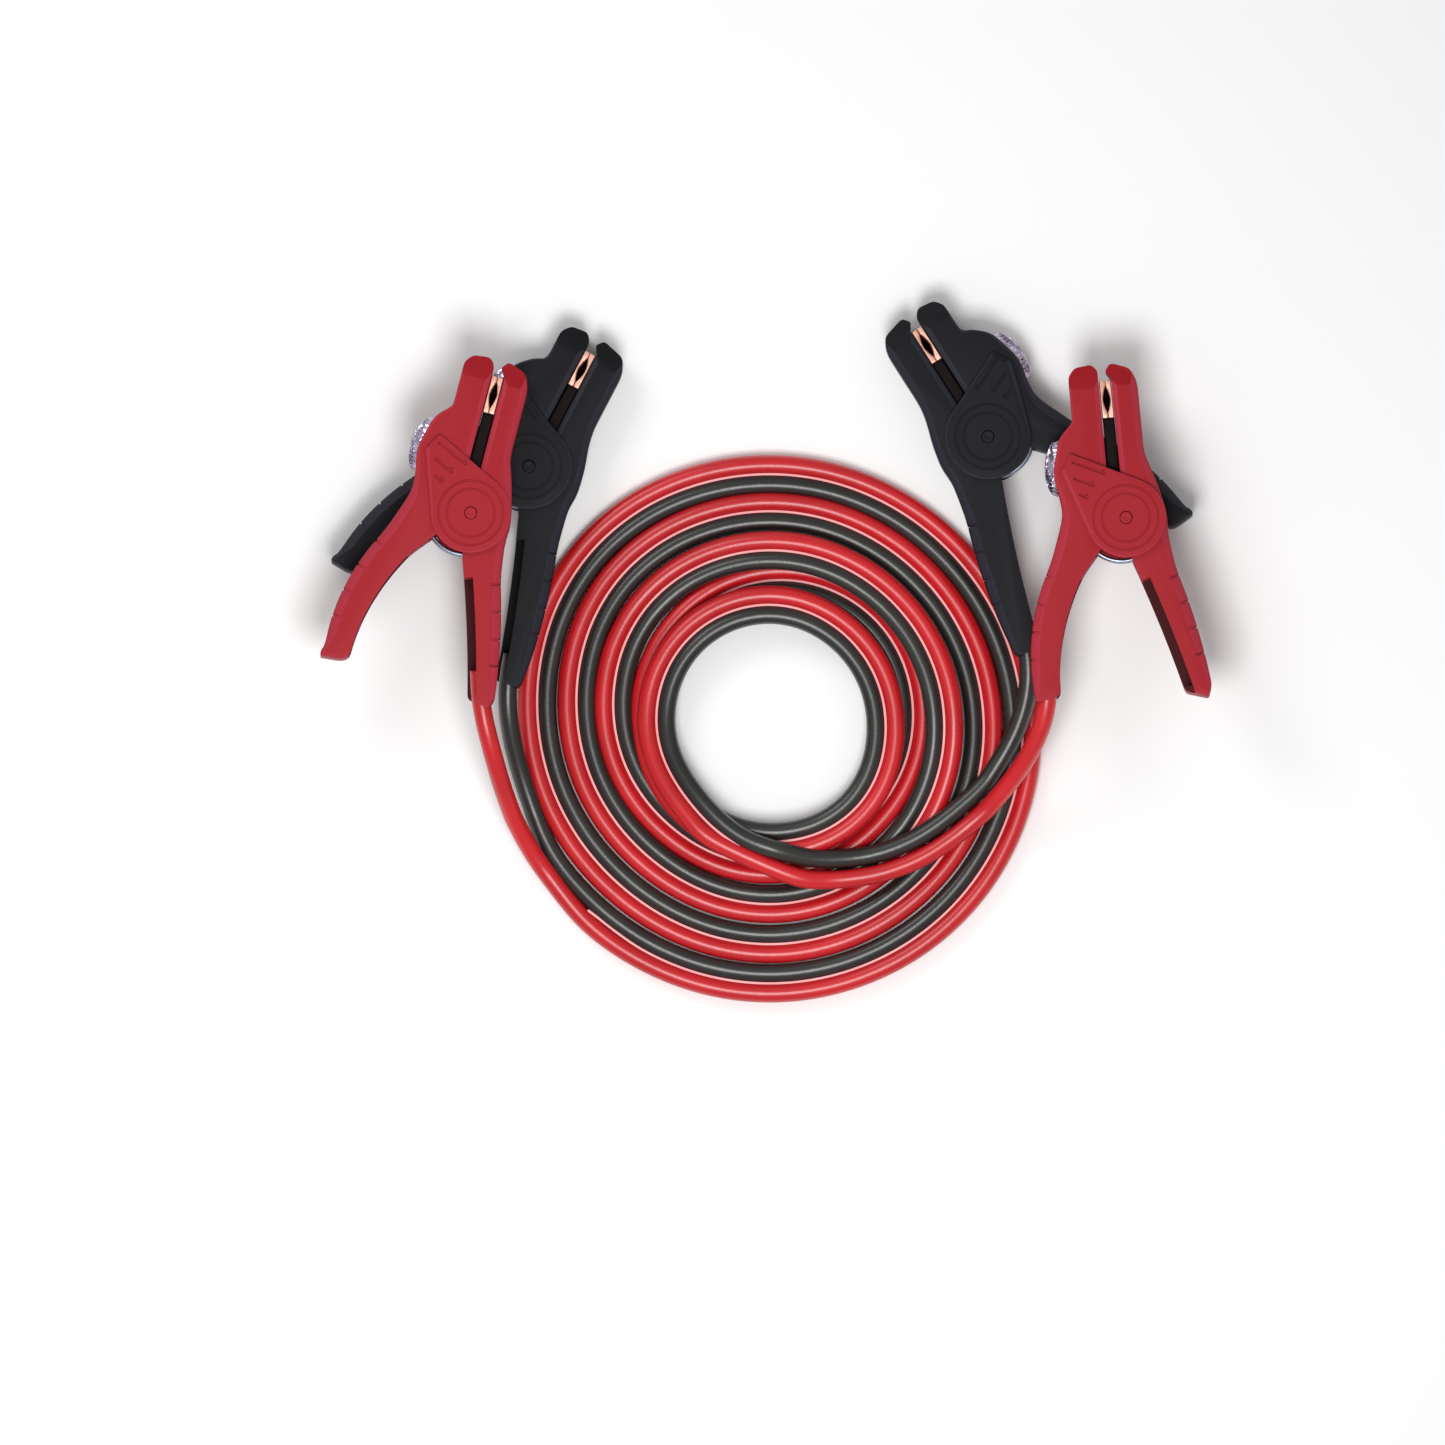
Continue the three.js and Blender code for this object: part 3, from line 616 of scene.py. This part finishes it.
def carve(name, clamp, body, cutters, material):
    # The body less its cutters, in the clamp's own millimetres, then set in its place. Its face attribute
    # for painted light is 1 on chamfers, a painted sheen, and -1 on the sloped facets of the jaw tips and -2
    # on level faces inside, both painted shade.
    shape = temporary(*body)
    tools = [temporary(*c) for c in cutters]
    for tool in tools:
        cut = shape.modifiers.new("cut", "BOOLEAN")
        cut.operation, cut.object, cut.solver = "DIFFERENCE", tool, "MANIFOLD"
    graph = bpy.context.evaluated_depsgraph_get()
    mesh = bpy.data.meshes.new_from_object(shape.evaluated_get(graph))
    for item in [shape, *tools]:
        bpy.data.objects.remove(item)
    mesh.name = name
    normals = np.empty(3 * len(mesh.polygons))
    middles = np.empty(3 * len(mesh.polygons))
    mesh.polygons.foreach_get("normal", normals)
    mesh.polygons.foreach_get("center", middles)
    rise, along = np.abs(normals[2::3]), middles[1::3]
    tip = clampSizes[clampPlaces[clamp]["colour"]]["jawReach"] - halves["tipFacet"][0] - 1
    inside = np.abs(middles[2::3]) < halves["half"] - halves["wall"] + faceRise["sunk"]
    chamfer = (rise > faceRise["chamfer"]) & (rise < faceRise["facet"])
    facet = (rise > faceRise["facet"]) & (rise < faceRise["level"]) & (along > tip)
    # painted sheen on chamfers, painted shade on tip facets and on level faces sunk inside
    paintedLight = np.select([facet, (rise > faceRise["level"]) & inside, chamfer], [-1.0, -2.0, 1.0], 0.0)
    mesh.attributes.new("paintedLight", "FLOAT", "FACE").data.foreach_set("value", paintedLight)
    points = np.empty(3 * len(mesh.vertices))
    mesh.vertices.foreach_get("co", points)
    mesh.vertices.foreach_set("co", (placed(clamp, points.reshape(-1, 3)) * mm).ravel())
    mesh.materials.clear()
    mesh.materials.append(material)
    mesh.polygons.foreach_set("use_smooth", np.full(len(mesh.polygons), True))
    mesh.set_sharp_from_angle(angle=math.radians(plate["crease"]))
    mesh.update()
    piece = bpy.data.objects.new(name, mesh)
    bpy.context.scene.collection.objects.link(piece)
    return piece


# The clamp halves

halves = {
    "half": 10.8, "wall": 2.6, "knuckle": 15.6, "running": 0.5, "slitHalf": 3.3,
    "noseHeight": 8, "noseOverhang": 2.8, "jawWidthB": 14.8, "tipCorner": 3.4,
    "neckHeight": 32, "flareHeight": 23.6, "bossTop": 42.9, "waist": 4,
    "shoulderLine": ((-2.6, 12.5), (0, 0), (-0.6, -9.4)),  # from the shoulder outwards, and height
    "knuckleFoot": 272, "clearFoot": 225,  # angles where the knuckle's round meets each handle
    "outerChamfer": 3.7, "slitChamfer": 2.7, "tipChamfer": 1.4, "thinChamfer": 1.0,
    "tipFacet": (12, 4.6),  # how far the sloped face of a jaw tip runs back and down
    "channelStep": 4.4, "channelStart": 0.16, "channelPoints": 12, "tipLean": 0.55,
    "grooveStart": 0.22, "groovePitch": 13.4, "grooveCount": 4, "grooveWidth": 1.3, "grooveDepth": 0.9,
    "handleChamfer": 5.2, "endChamfer": 2.2, "heel": 1.6,
    "pinHole": 3.3, "pinSides": 40,
    "drillReach": 20, "tipCutWidth": 30,  # cutters run past the body
}
springShape = {"centre": (-2.5, -2), "outer": 20, "wire": 2.4, "half": 5.4, "gap": 1.4, "turns": 3.5,
               "firstAngle": -0.9, "wireFit": 0.96, "turnPoints": 60, "wireSides": 10, "pocketSides": 64}
lamp = {"centre": (-31.2, 28.6), "turn": 6, "radius": 14.2, "half": 8.6, "rise": 7,
        "pocketDepth": 7, "pocketFloor": 10.6, "pocketTop": 21, "pocketSides": 56,
        "domeSides": 48, "bowl": 4.5, "facets": 22}


def handleEdge(handle, side, which, steps, inset=0.0, start=0.0, stop=1.0):
    # One edge of a handle: its middle line moved out by a half width that changes with t squared.
    t = np.linspace(start, stop, steps + 1)
    point, along = handleLine(handle, side, t)
    half = handle["rootHalf"] + (handle["endHalf"] - handle["rootHalf"]) * t**2 - inset
    out = np.stack([-along[:, 1], along[:, 0]], axis=1) * (half * side * which)[:, None]
    return point + out


def arc(radius, first, last, steps):
    # Points round the pivot: radius times cosine and sine of evenly spaced angles.
    angle = np.radians(np.linspace(first, last, steps + 1))
    return radius * np.stack([np.cos(angle), np.sin(angle)], axis=1)


def rows(points, width, corner):
    # Rows for plateBody: the points with one chamfer width and one rounding.
    return [(x, y, width, corner) for x, y in np.asarray(points)]


def outlineA(size):
    # The ribbed half in plan, from the nose of its jaw down the outside, round the handle and
    # back along the knuckle to the slit.
    h = halves
    inner = size["slitX"] + h["slitHalf"]
    outer, tip = inner + size["jawWidthA"], size["jawReach"]
    handle, shoulder = size["handleA"], size["shoulder"]
    start = math.degrees(math.atan2(math.sqrt(h["knuckle"]**2 - inner**2), inner))
    end, along = handleLine(handle, 1, 1.0)
    point = end + handle["slant"] * along + np.array([-along[1], along[0]]) * handle["endHalf"] * h["tipLean"]
    wide, thin, corner = h["outerChamfer"], h["thinChamfer"], h["tipCorner"]
    widen = 4 * (shoulder / outer - 1)
    return (rows([(inner, tip - h["noseHeight"]), (inner - h["noseOverhang"], tip - h["noseHeight"] / 2)],
                 thin, 1.0)
            + rows([(inner, tip)], h["tipChamfer"], 2.0)
            + rows([(outer - corner, tip - corner)], wide, 2.5)
            + rows([(outer, tip - 3 * corner), (outer, h["neckHeight"]), (outer + widen, h["flareHeight"]),
                    *[(shoulder + x, y) for x, y in h["shoulderLine"]]], wide, 5.0)
            + rows(handleEdge(handle, 1, 1, 6)[1:-2], h["handleChamfer"], 6.0)
            + rows(handleEdge(handle, 1, 1, 6)[-2:-1], h["endChamfer"], 4.0)
            + rows(handleEdge(handle, 1, 1, 6)[-1:], thin, 2.0)
            + rows([point], thin, 1.2)
            + rows(handleEdge(handle, 1, -1, 6)[::-1], thin, 2.0)
            + rows(arc(h["knuckle"], h["knuckleFoot"], start, 10)[:-1], thin, 2.0)
            + rows(arc(h["knuckle"], h["knuckleFoot"], start, 10)[-1:], h["slitChamfer"], 0.5))


def outlineB(size, flared):
    # The lamp half in plan, from the slit round the knuckle's clearance, round the handle, up
    # over the lamp's boss and along the outside of its jaw.
    h = halves
    inner = size["slitX"] - h["slitHalf"]
    outer, tip, corner = inner - h["jawWidthB"], size["jawReach"], h["tipCorner"]
    clear = h["knuckle"] + h["running"]
    start = math.degrees(math.atan2(math.sqrt(clear**2 - inner**2), inner))
    x, y = lamp["centre"]
    top, wide, thin = h["bossTop"], h["outerChamfer"], h["thinChamfer"]
    # a handle without the cable ends in a small heel
    flare = h["heel"] if flared else 0
    heel = rows(handleEdge(size["handleB"], -1, 1, 1, -flare, 0.97, 1)[::-1], h["endChamfer"], 1.2)
    return (rows(arc(clear, start, h["clearFoot"], 8), thin, 2.0)
            + rows(handleEdge(size["handleB"], -1, -1, 7)[1:], thin, 6.0)
            + heel
            + rows(handleEdge(size["handleB"], -1, 1, 7, 0, 0, 0.93)[:0:-1], h["handleChamfer"], 5.0)
            + rows([(x, h["waist"])], wide, 8.0)
            + rows([(x - 0.8, y - lamp["radius"] - 1)], 1.6, 3.0)
            + rows([(x - 3.4, y - 3.5)], 1.6, 6.0)
            + rows([(x + 1.4, top), (min(outer, x + 8.5), top + 6.7), (outer, top + 9)], thin, 4.0)
            + rows([(outer, tip - 1.6 * corner), (outer + corner, tip - 0.3 * corner)], h["tipChamfer"], 2.0)
            + rows([(inner - 0.8 * corner, tip)], h["tipChamfer"], 2.0)
            + rows([(inner, tip - corner)], h["slitChamfer"], 1.5))


def channelCut(handle, side, which, depth, low, high, opened):
    # The hollow of a handle: the strip between an edge, moved in, and the inner edge, moved out.
    h = halves
    stop = 1 if opened else 1 - h["wall"] / handle["reach"]
    steps = h["channelPoints"]
    outer = handleEdge(handle, side, which, steps, depth, h["channelStart"], stop)
    beyond = handleEdge(handle, side, -1, steps, -2.5, h["channelStart"], stop)
    if opened:
        out = handleLine(handle, side, 1.0)[1] * (handle["slant"] + cable["diameter"])
        outer = np.vstack([outer, outer[-1] + out])
        beyond = np.vstack([beyond, beyond[-1] + out])
    return prism(np.vstack([outer, beyond[::-1]]), low, high)


def tipCuts(size, x0, x1):
    # The wedges that slope the two faces of a jaw's tip, each a profile carried along x.
    back, down = halves["tipFacet"]
    half, tip = halves["half"], size["jawReach"]
    cuts = []
    for sign in (1, -1):
        face = [(tip - back, half), (tip + 1, half - down), (tip + 1, half + 3), (tip - back, half + 3)]
        cuts.append(prism([(y, sign * z) for y, z in face], x0, x1, "x"))
    return cuts


def springPocket():
    # A ring round the spring's centre, with room inside and out.
    s = springShape
    inner, outer, half = s["outer"] - s["wire"] - s["gap"], s["outer"] + s["gap"], s["half"] + 0.3
    points, faces = turned([(inner, -half), (outer, -half), (outer, half), (inner, half)],
                           s["pocketSides"], True)
    return points + [*s["centre"], 0], faces


def gripGrooves(handle, side):
    # Grooves across the outer chamfers of a handle, square to its line: each cutter is the edge's own
    # profile, offset outward and height, moved in by the groove's depth
    h = halves
    length = np.linalg.norm(np.array(handle["root"]) - [side * handle["spread"], -handle["reach"]])
    wide, depth = h["handleChamfer"], h["grooveDepth"]
    low, high = h["half"] - plate["slope"] * wide - 0.3, h["half"] + 0.35
    profile = np.array([(3, -high), (3, high), (-wide - 0.5, high), (-depth, low), (-depth, -low),
                        (-wide - 0.5, -high)])
    cuts = []
    for i in range(h["grooveCount"]):
        t = h["grooveStart"] + i * h["groovePitch"] / length
        point, along = handleLine(handle, side, t)
        out = np.array([-along[1], along[0]]) * side
        edge = point + out * (handle["rootHalf"] + (handle["endHalf"] - handle["rootHalf"]) * t**2)
        flat, faces = prism(profile, -h["grooveWidth"] / 2, h["grooveWidth"] / 2)
        plan = edge + flat[:, :1] * out + flat[:, 2:] * along
        cuts.append((np.column_stack([plan, flat[:, 1]]), faces if side > 0 else [f[::-1] for f in faces]))
    return cuts


def lampSpot(points):
    # A shape turned about z, laid into the side of the boss: its axis looks out and its round is squashed.
    p = np.asarray(points, float)
    a = math.radians(90 - lamp["turn"])
    across, out = np.array([math.cos(a), math.sin(a)]), np.array([-math.sin(a), math.cos(a)])
    plan = np.array(lamp["centre"]) + p[:, :1] * across + p[:, 2:] * out
    return np.column_stack([plan, -p[:, 1] * lamp["half"] / lamp["radius"]])


def pinDrill():
    # A plain round cutter along the pivot.
    reach, radius = halves["drillReach"], halves["pinHole"]
    return turned([(0, -reach), (radius, -reach), (radius, reach), (0, reach)], halves["pinSides"])


def halfA(clamp, size, plastic):
    # The ribbed half: its plate less the pin hole, the spring's ring, the hollow and the grooves.
    h = halves
    inside = h["half"] - h["wall"]
    opened = clampPlaces[clamp]["cableHalf"] == "A"
    cutters = [pinDrill(), springPocket(),
               channelCut(size["handleA"], 1, 1, h["wall"], -inside, inside, opened),
               channelCut(size["handleA"], 1, -1, h["channelStep"], inside - 0.3, h["half"] + 1, True)]
    cutters += tipCuts(size, size["slitX"], size["slitX"] + h["tipCutWidth"])
    cutters += gripGrooves(size["handleA"], 1)
    return carve(clamp + "_ribbed_shell", clamp, plateBody(outlineA(size), h["half"]), cutters, plastic)


def halfB(clamp, size, plastic):
    # The lamp half: its plate less the spring's ring, the lamp's pocket, the hollow and the grooves.
    h = halves
    inside = h["half"] - h["wall"]
    opened = clampPlaces[clamp]["cableHalf"] == "B"
    depth, top, radius = lamp["pocketDepth"], lamp["pocketTop"], lamp["radius"] + 0.3
    pocket, faces = turned([(0, -depth), (lamp["pocketFloor"], -depth), (radius, -1), (radius, top),
                            (0, top)], lamp["pocketSides"])
    cutters = [springPocket(), (lampSpot(pocket), faces),
               channelCut(size["handleB"], -1, 1, h["wall"], -inside, inside, opened)]
    cutters += tipCuts(size, size["slitX"] - h["tipCutWidth"], size["slitX"])
    cutters += gripGrooves(size["handleB"], -1)
    body = plateBody(outlineB(size, not opened), h["half"])
    return carve(clamp + "_lamp_shell", clamp, body, cutters, plastic)


# Pivot covers: a disc with a wing, two turned grooves round the pin and the wing's slots

coverShape = {
    "thickness": 2.4, "gap": 0.3, "wingTop": (-24.9, 34.6), "wingSide": (-30.2, 25.7),
    "rim": 0.8, "wingBorder": 2.2, "grooves": (16.2, 12.0), "grooveWidth": 0.8, "grooveDepth": 0.6,
    "slots": [((-24.4, 30.2), (-8.4, 22.7)), ((-24.2, 22), (-14.4, 17.2)), ((-22.2, 13.7), (-17.8, 11.4))],
    "slotWidth": 1.4, "slotDepth": 1.1, "slotHook": 3.4, "slope": 0.55, "grooveSides": 96,
}


def coverOutline(size):
    # A disc and two wing corners, joined by the lines from each corner that touch the disc.
    c = coverShape
    radius = size["discRadius"]
    top, side = np.array(c["wingTop"]), np.array(c["wingSide"])
    first = math.degrees(math.atan2(top[1], top[0]) - math.acos(radius / np.hypot(*top)))
    last = math.degrees(math.atan2(side[1], side[0]) + math.acos(radius / np.hypot(*side))) - 360
    disc = arc(radius, first, last, 44)
    return (rows([side], c["wingBorder"], 1.2) + rows([top], c["rim"], 1.2)
            + rows(disc[:-1], c["rim"], 1.0) + rows(disc[-1:], c["wingBorder"], 1.0))


def cover(clamp, size, plastic, face):
    # The cover's plate less its pin hole, turned grooves and slots; the back one is mirrored in z.
    c = coverShape
    half = c["thickness"] / 2
    middle = halves["half"] + c["gap"] + half
    top = middle + half
    cutters = [pinDrill()]
    for r in c["grooves"]:
        w = c["grooveWidth"] / 2
        cutters.append(turned([(r - w, top - c["grooveDepth"]), (r + w, top - c["grooveDepth"]),
                               (r + 2 * w, top + 1), (r - 2 * w, top + 1)], c["grooveSides"], True))
    for start, stop in c["slots"]:
        start, stop = np.array(start), np.array(stop)
        along = unit(stop - start)
        across = np.array([-along[1], along[0]]) * c["slotWidth"] / 2
        cutters.append(prism([start - across, stop - across, stop + across, start + across],
                             top - c["slotDepth"], top + 1))
        hook = stop - np.array([along[0] + along[1], along[1] - along[0]]) * c["slotHook"] * 0.5
        side = unit(hook - stop)
        across = np.array([-side[1], side[0]]) * c["slotWidth"] / 2
        cutters.append(prism([stop - across, hook - across, hook + across, stop + across],
                             top - c["slotDepth"], top + 1))
    body, faces = plateBody(coverOutline(size), half, c["slope"], middle)
    if face < 0:
        body, faces = body * [1, 1, -1], [f[::-1] for f in faces]
        cutters = [(np.asarray(p) * [1, 1, -1], [f[::-1] for f in q]) for p, q in cutters]
    label = "_front_plate" if face > 0 else "_back_plate"
    return carve(clamp + label, clamp, (body, faces), cutters, plastic)


def pivotPin(clamp, plastic):
    # A turned pin with a shallow dished head at each end.
    end = halves["half"] + coverShape["gap"] + coverShape["thickness"]
    head = [(0, end - 0.25), (1.6, end - 0.1), (2.4, end + 0.05), (2.85, end - 0.1), (3.0, end - 0.5)]
    profile = [(0, -head[0][1])] + [(r, -z) for r, z in head[1:]] + head[::-1]
    return carve(clamp + "_pin", clamp, turned(profile, halves["pinSides"]), [], plastic)


def spring(clamp, material):
    # A wire wound about its centre line: the radius stays and the height rises evenly with the angle.
    s = springShape
    wire = s["wire"] / 2 * s["wireFit"]
    first, last = s["firstAngle"], s["turns"] * 2 * math.pi + s["firstAngle"]
    angle = np.linspace(first, last, int(s["turns"] * s["turnPoints"]))
    share = (angle - angle[0]) / (angle[-1] - angle[0])
    height = (2 * share - 1) * (s["half"] - wire)
    radius = s["outer"] - s["wire"] / 2
    x, y = s["centre"]
    line = np.stack([x + radius * np.cos(angle), y + radius * np.sin(angle), height], 1)
    points, faces = tubeAlong(line, wire, s["wireSides"])
    return makePiece(clamp + "_torsion_spring", placed(clamp, points), faces, material)


# Copper jaw plates, the dark block of painted shade between the jaws, and the lamp

bite = {"top": 8.6, "height": 19, "half": 8.6, "hole": 13.5, "holeHalf": 1.7, "backing": 2.4,
        "holePoints": 13, "holeFall": 1.6, "slope": 0.8}


def copperPlate(clamp, size, side, material):
    # A plate against one jaw, its edge hollowed by 1 less the power of the distance from the middle.
    top = size["jawReach"] - bite["top"]
    middle = top - bite["height"] / 2
    seat = size["slitX"] + side * (halves["slitHalf"] - 0.3)
    edge = size["slitX"] + side * 0.15
    t = np.linspace(-1, 1, bite["holePoints"])
    curve = [(edge + side * bite["holeHalf"] * (1 - abs(v)**bite["holeFall"]), middle - v * bite["hole"] / 2)
             for v in t]
    outline = rows([(seat, top), (edge, top)] + curve + [(edge, top - bite["height"]),
                   (seat, top - bite["height"])], 0.45, 0.3)
    label = "_copper_jaw_a" if side > 0 else "_copper_jaw_b"
    front = -1 if clampPlaces[clamp]["flipped"] else 1
    backing = bite["backing"] / 2
    body = plateBody(outline, bite["half"] - backing, bite["slope"], front * backing, 3)
    return carve(clamp + label, clamp, body, [], material)


def liner(clamp, size, material):
    # A near-black block between the jaws, from above the spring to below the copper plates, and its tongue:
    # painted shade where the channel between the jaws lies in shadow.
    top = size["jawReach"] - bite["top"] - bite["height"] - 0.3
    foot = springShape["centre"][1] + springShape["outer"] + 0.6
    left, right = size["slitX"] - halves["slitHalf"] + 0.5, size["slitX"] + halves["slitHalf"] - 0.3
    outline = rows([(left, foot), (right, foot), (right, top), (left, top)], 0.8, 0.6)
    # a thin tongue runs on behind the copper plates
    tongue = rows([(left, top - 0.5), (right, top - 0.5), (right, top + bite["height"] - 1),
                   (left, top + bite["height"] - 1)], 0.3, 0.4)
    front = -1 if clampPlaces[clamp]["flipped"] else 1
    block, faces = plateBody(outline, 7.6)
    sheet, more = plateBody(tongue, 0.8, middle=-front * (bite["half"] - 1.1))
    faces = faces + [[i + len(block) for i in f] for f in more]
    return carve(clamp + "_shade_block", clamp, (np.vstack([block, sheet]), faces), [], material)


def lens(clamp, material):
    # A dome over the lamp: radius times the cosine and rise times a power of the sine of an angle.
    radius, rise = lamp["radius"], lamp["rise"]
    angle = np.linspace(0, math.pi / 2, 14)
    profile = [(0, 0.05), (radius, 0.05)]
    profile += [(radius * math.cos(v), rise * math.sin(v)**0.9) for v in angle[1:-1]] + [(0, rise)]
    points, faces = turned(profile, lamp["domeSides"])
    return carve(clamp + "_clear_dome", clamp, (lampSpot(points), faces), [], material)


def reflector(clamp, material):
    # A cluster of small facets behind the dome: height is a flat dome plus a saw of cells along
    # both radius and angle.
    rings, sides = 9, 2 * lamp["facets"]
    r = np.linspace(0.12, 0.95, rings)[:, None] * lamp["radius"]
    angle = np.linspace(0, 2 * math.pi, sides, endpoint=False)[None, :]
    cell = np.where((np.arange(sides)[None, :] + np.arange(rings)[:, None]) % 2 == 0, 0.55, -0.35)
    h = 0.2 + lamp["bowl"] * np.sqrt(1 - (r / lamp["radius"])**2) + cell
    h[-1] = -0.4
    front = np.stack([r * np.cos(angle), r * np.sin(angle), np.broadcast_to(h, (rings, sides))], -1)
    back = np.array([(lamp["radius"] * 0.97, -0.9), (9.9, -lamp["pocketDepth"] + 0.3)])
    under = np.stack([back[:, :1] * np.cos(angle), back[:, :1] * np.sin(angle),
                      back[:, 1:] + 0 * angle], -1).reshape(-1, 3)
    grid = np.vstack([front.reshape(-1, 3), under])
    points = np.vstack([grid, [0, 0, h[0].mean()], [0, 0, -lamp["pocketDepth"] + 0.3]])
    faces = [f[::-1] for f in gridFaces(rings + 2, sides, closeColumns=True).tolist()]
    first, last, top = len(grid), len(grid) + 1, (rings + 1) * sides
    faces += [[first, i, (i + 1) % sides] for i in range(sides)]
    faces += [[last, top + (i + 1) % sides, top + i] for i in range(sides)]
    return makePiece(clamp + "_faceted_bowl", placed(clamp, lampSpot(points)), faces, material, smooth=False)


def makeClamp(clamp):
    # All pieces of a clamp, each with the body it rides on, the CAD node it replaces and its slot.
    colour = clampPlaces[clamp]["colour"]
    size, plastic = clampSizes[colour], plastics[colour]
    cableIsA = clampPlaces[clamp]["cableHalf"] == "A"
    fixed, moving = "cable_set", clamp + "_jaw"
    bodyA, bodyB = (fixed, moving) if cableIsA else (moving, fixed)
    slot = colour + "_plastic"
    pieces = [
        (halfA(clamp, size, plastic), bodyA, "_ribbed_half", slot),
        (halfB(clamp, size, plastic), bodyB, "_lamp_half", slot),
        (cover(clamp, size, plastic, 1), bodyB, "_front_cover", slot),
        (cover(clamp, size, plastic, -1), bodyB, "_back_cover", slot),
        (pivotPin(clamp, plastic), fixed, "_pivot_pin", slot),
        (spring(clamp, springSteel), fixed, "_spring", "spring_steel"),
        (copperPlate(clamp, size, 1, copper), bodyA, "_copper_a", "copper"),
        (copperPlate(clamp, size, -1, copper), bodyB, "_copper_b", "copper"),
        # the dark block between the jaws is painted shade in the channel there
        (liner(clamp, size, channelShade), bodyA, "_jaw_liner", "liner"),
        (lens(clamp, clearLens), bodyB, "_lens", "clear_lens"),
        (reflector(clamp, brightBowl), bodyB, "_reflector", "reflector"),
    ]
    for piece, body, node, finish in pieces:
        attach(piece, body)
        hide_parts(clamp + node)


# Studio: a pale floor and soft lights

studio = {"floor": 6.0, "sky": 0.42, "topPower": 10.5, "keyPower": 4.5}


def addStudio():
    # A level floor just below the cable, an even white sky and two soft lights.
    half = studio["floor"] / 2 / mm
    f = Finish("pale_floor")
    f.set(Base_Color=f.mix(f.noise(3.0), (0.95, 0.95, 0.95, 1), (0.97, 0.97, 0.97, 1)), Roughness=0.9)
    corners = np.array([(-half, -half, -0.2), (half, -half, -0.2), (half, half, -0.2), (-half, half, -0.2)])
    floor = makePiece("floor", corners, [[0, 1, 2, 3]], f.material, smooth=False)
    world = bpy.data.worlds.new("studio")
    world.use_nodes = True
    world.node_tree.nodes["Background"].inputs["Color"].default_value = (1, 1, 1, 1)
    world.node_tree.nodes["Background"].inputs["Strength"].default_value = studio["sky"]
    bpy.context.scene.world = world
    bpy.context.scene.view_settings.view_transform = "Standard"
    lights = {
        "top_softbox": ((-0.02, -0.42, 1.25), 0.5, studio["topPower"], (14, 0, 0)),
        "key_softbox": ((-0.7, 0.8, 1.0), 0.6, studio["keyPower"], (-42, -35, 0)),
    }
    for name, (place, size, power, turn) in lights.items():
        data = bpy.data.lights.new(name, "AREA")
        data.size, data.energy = size, power
        light = bpy.data.objects.new(name, data)
        light.location = place
        light.rotation_euler = [math.radians(a) for a in turn]
        bpy.context.scene.collection.objects.link(light)


def addCamera():
    # A view straight down, without perspective.
    data = bpy.data.cameras.new("camera")
    data.type = "ORTHO"
    data.ortho_scale = photoView["height"] * mm
    data.clip_end = 10.0
    camera = bpy.data.objects.new("camera", data)
    x, y = photoView["centre"]
    camera.location = (x * mm, y * mm, photoView["lift"] * mm)
    bpy.context.scene.collection.objects.link(camera)
    bpy.context.scene.camera = camera


addCamera()
addStudio()
print("camera and studio placed")
makeCable()
print("cable laid")
for clampName in clampPlaces:
    makeClamp(clampName)
    print(clampName, "clamp made")
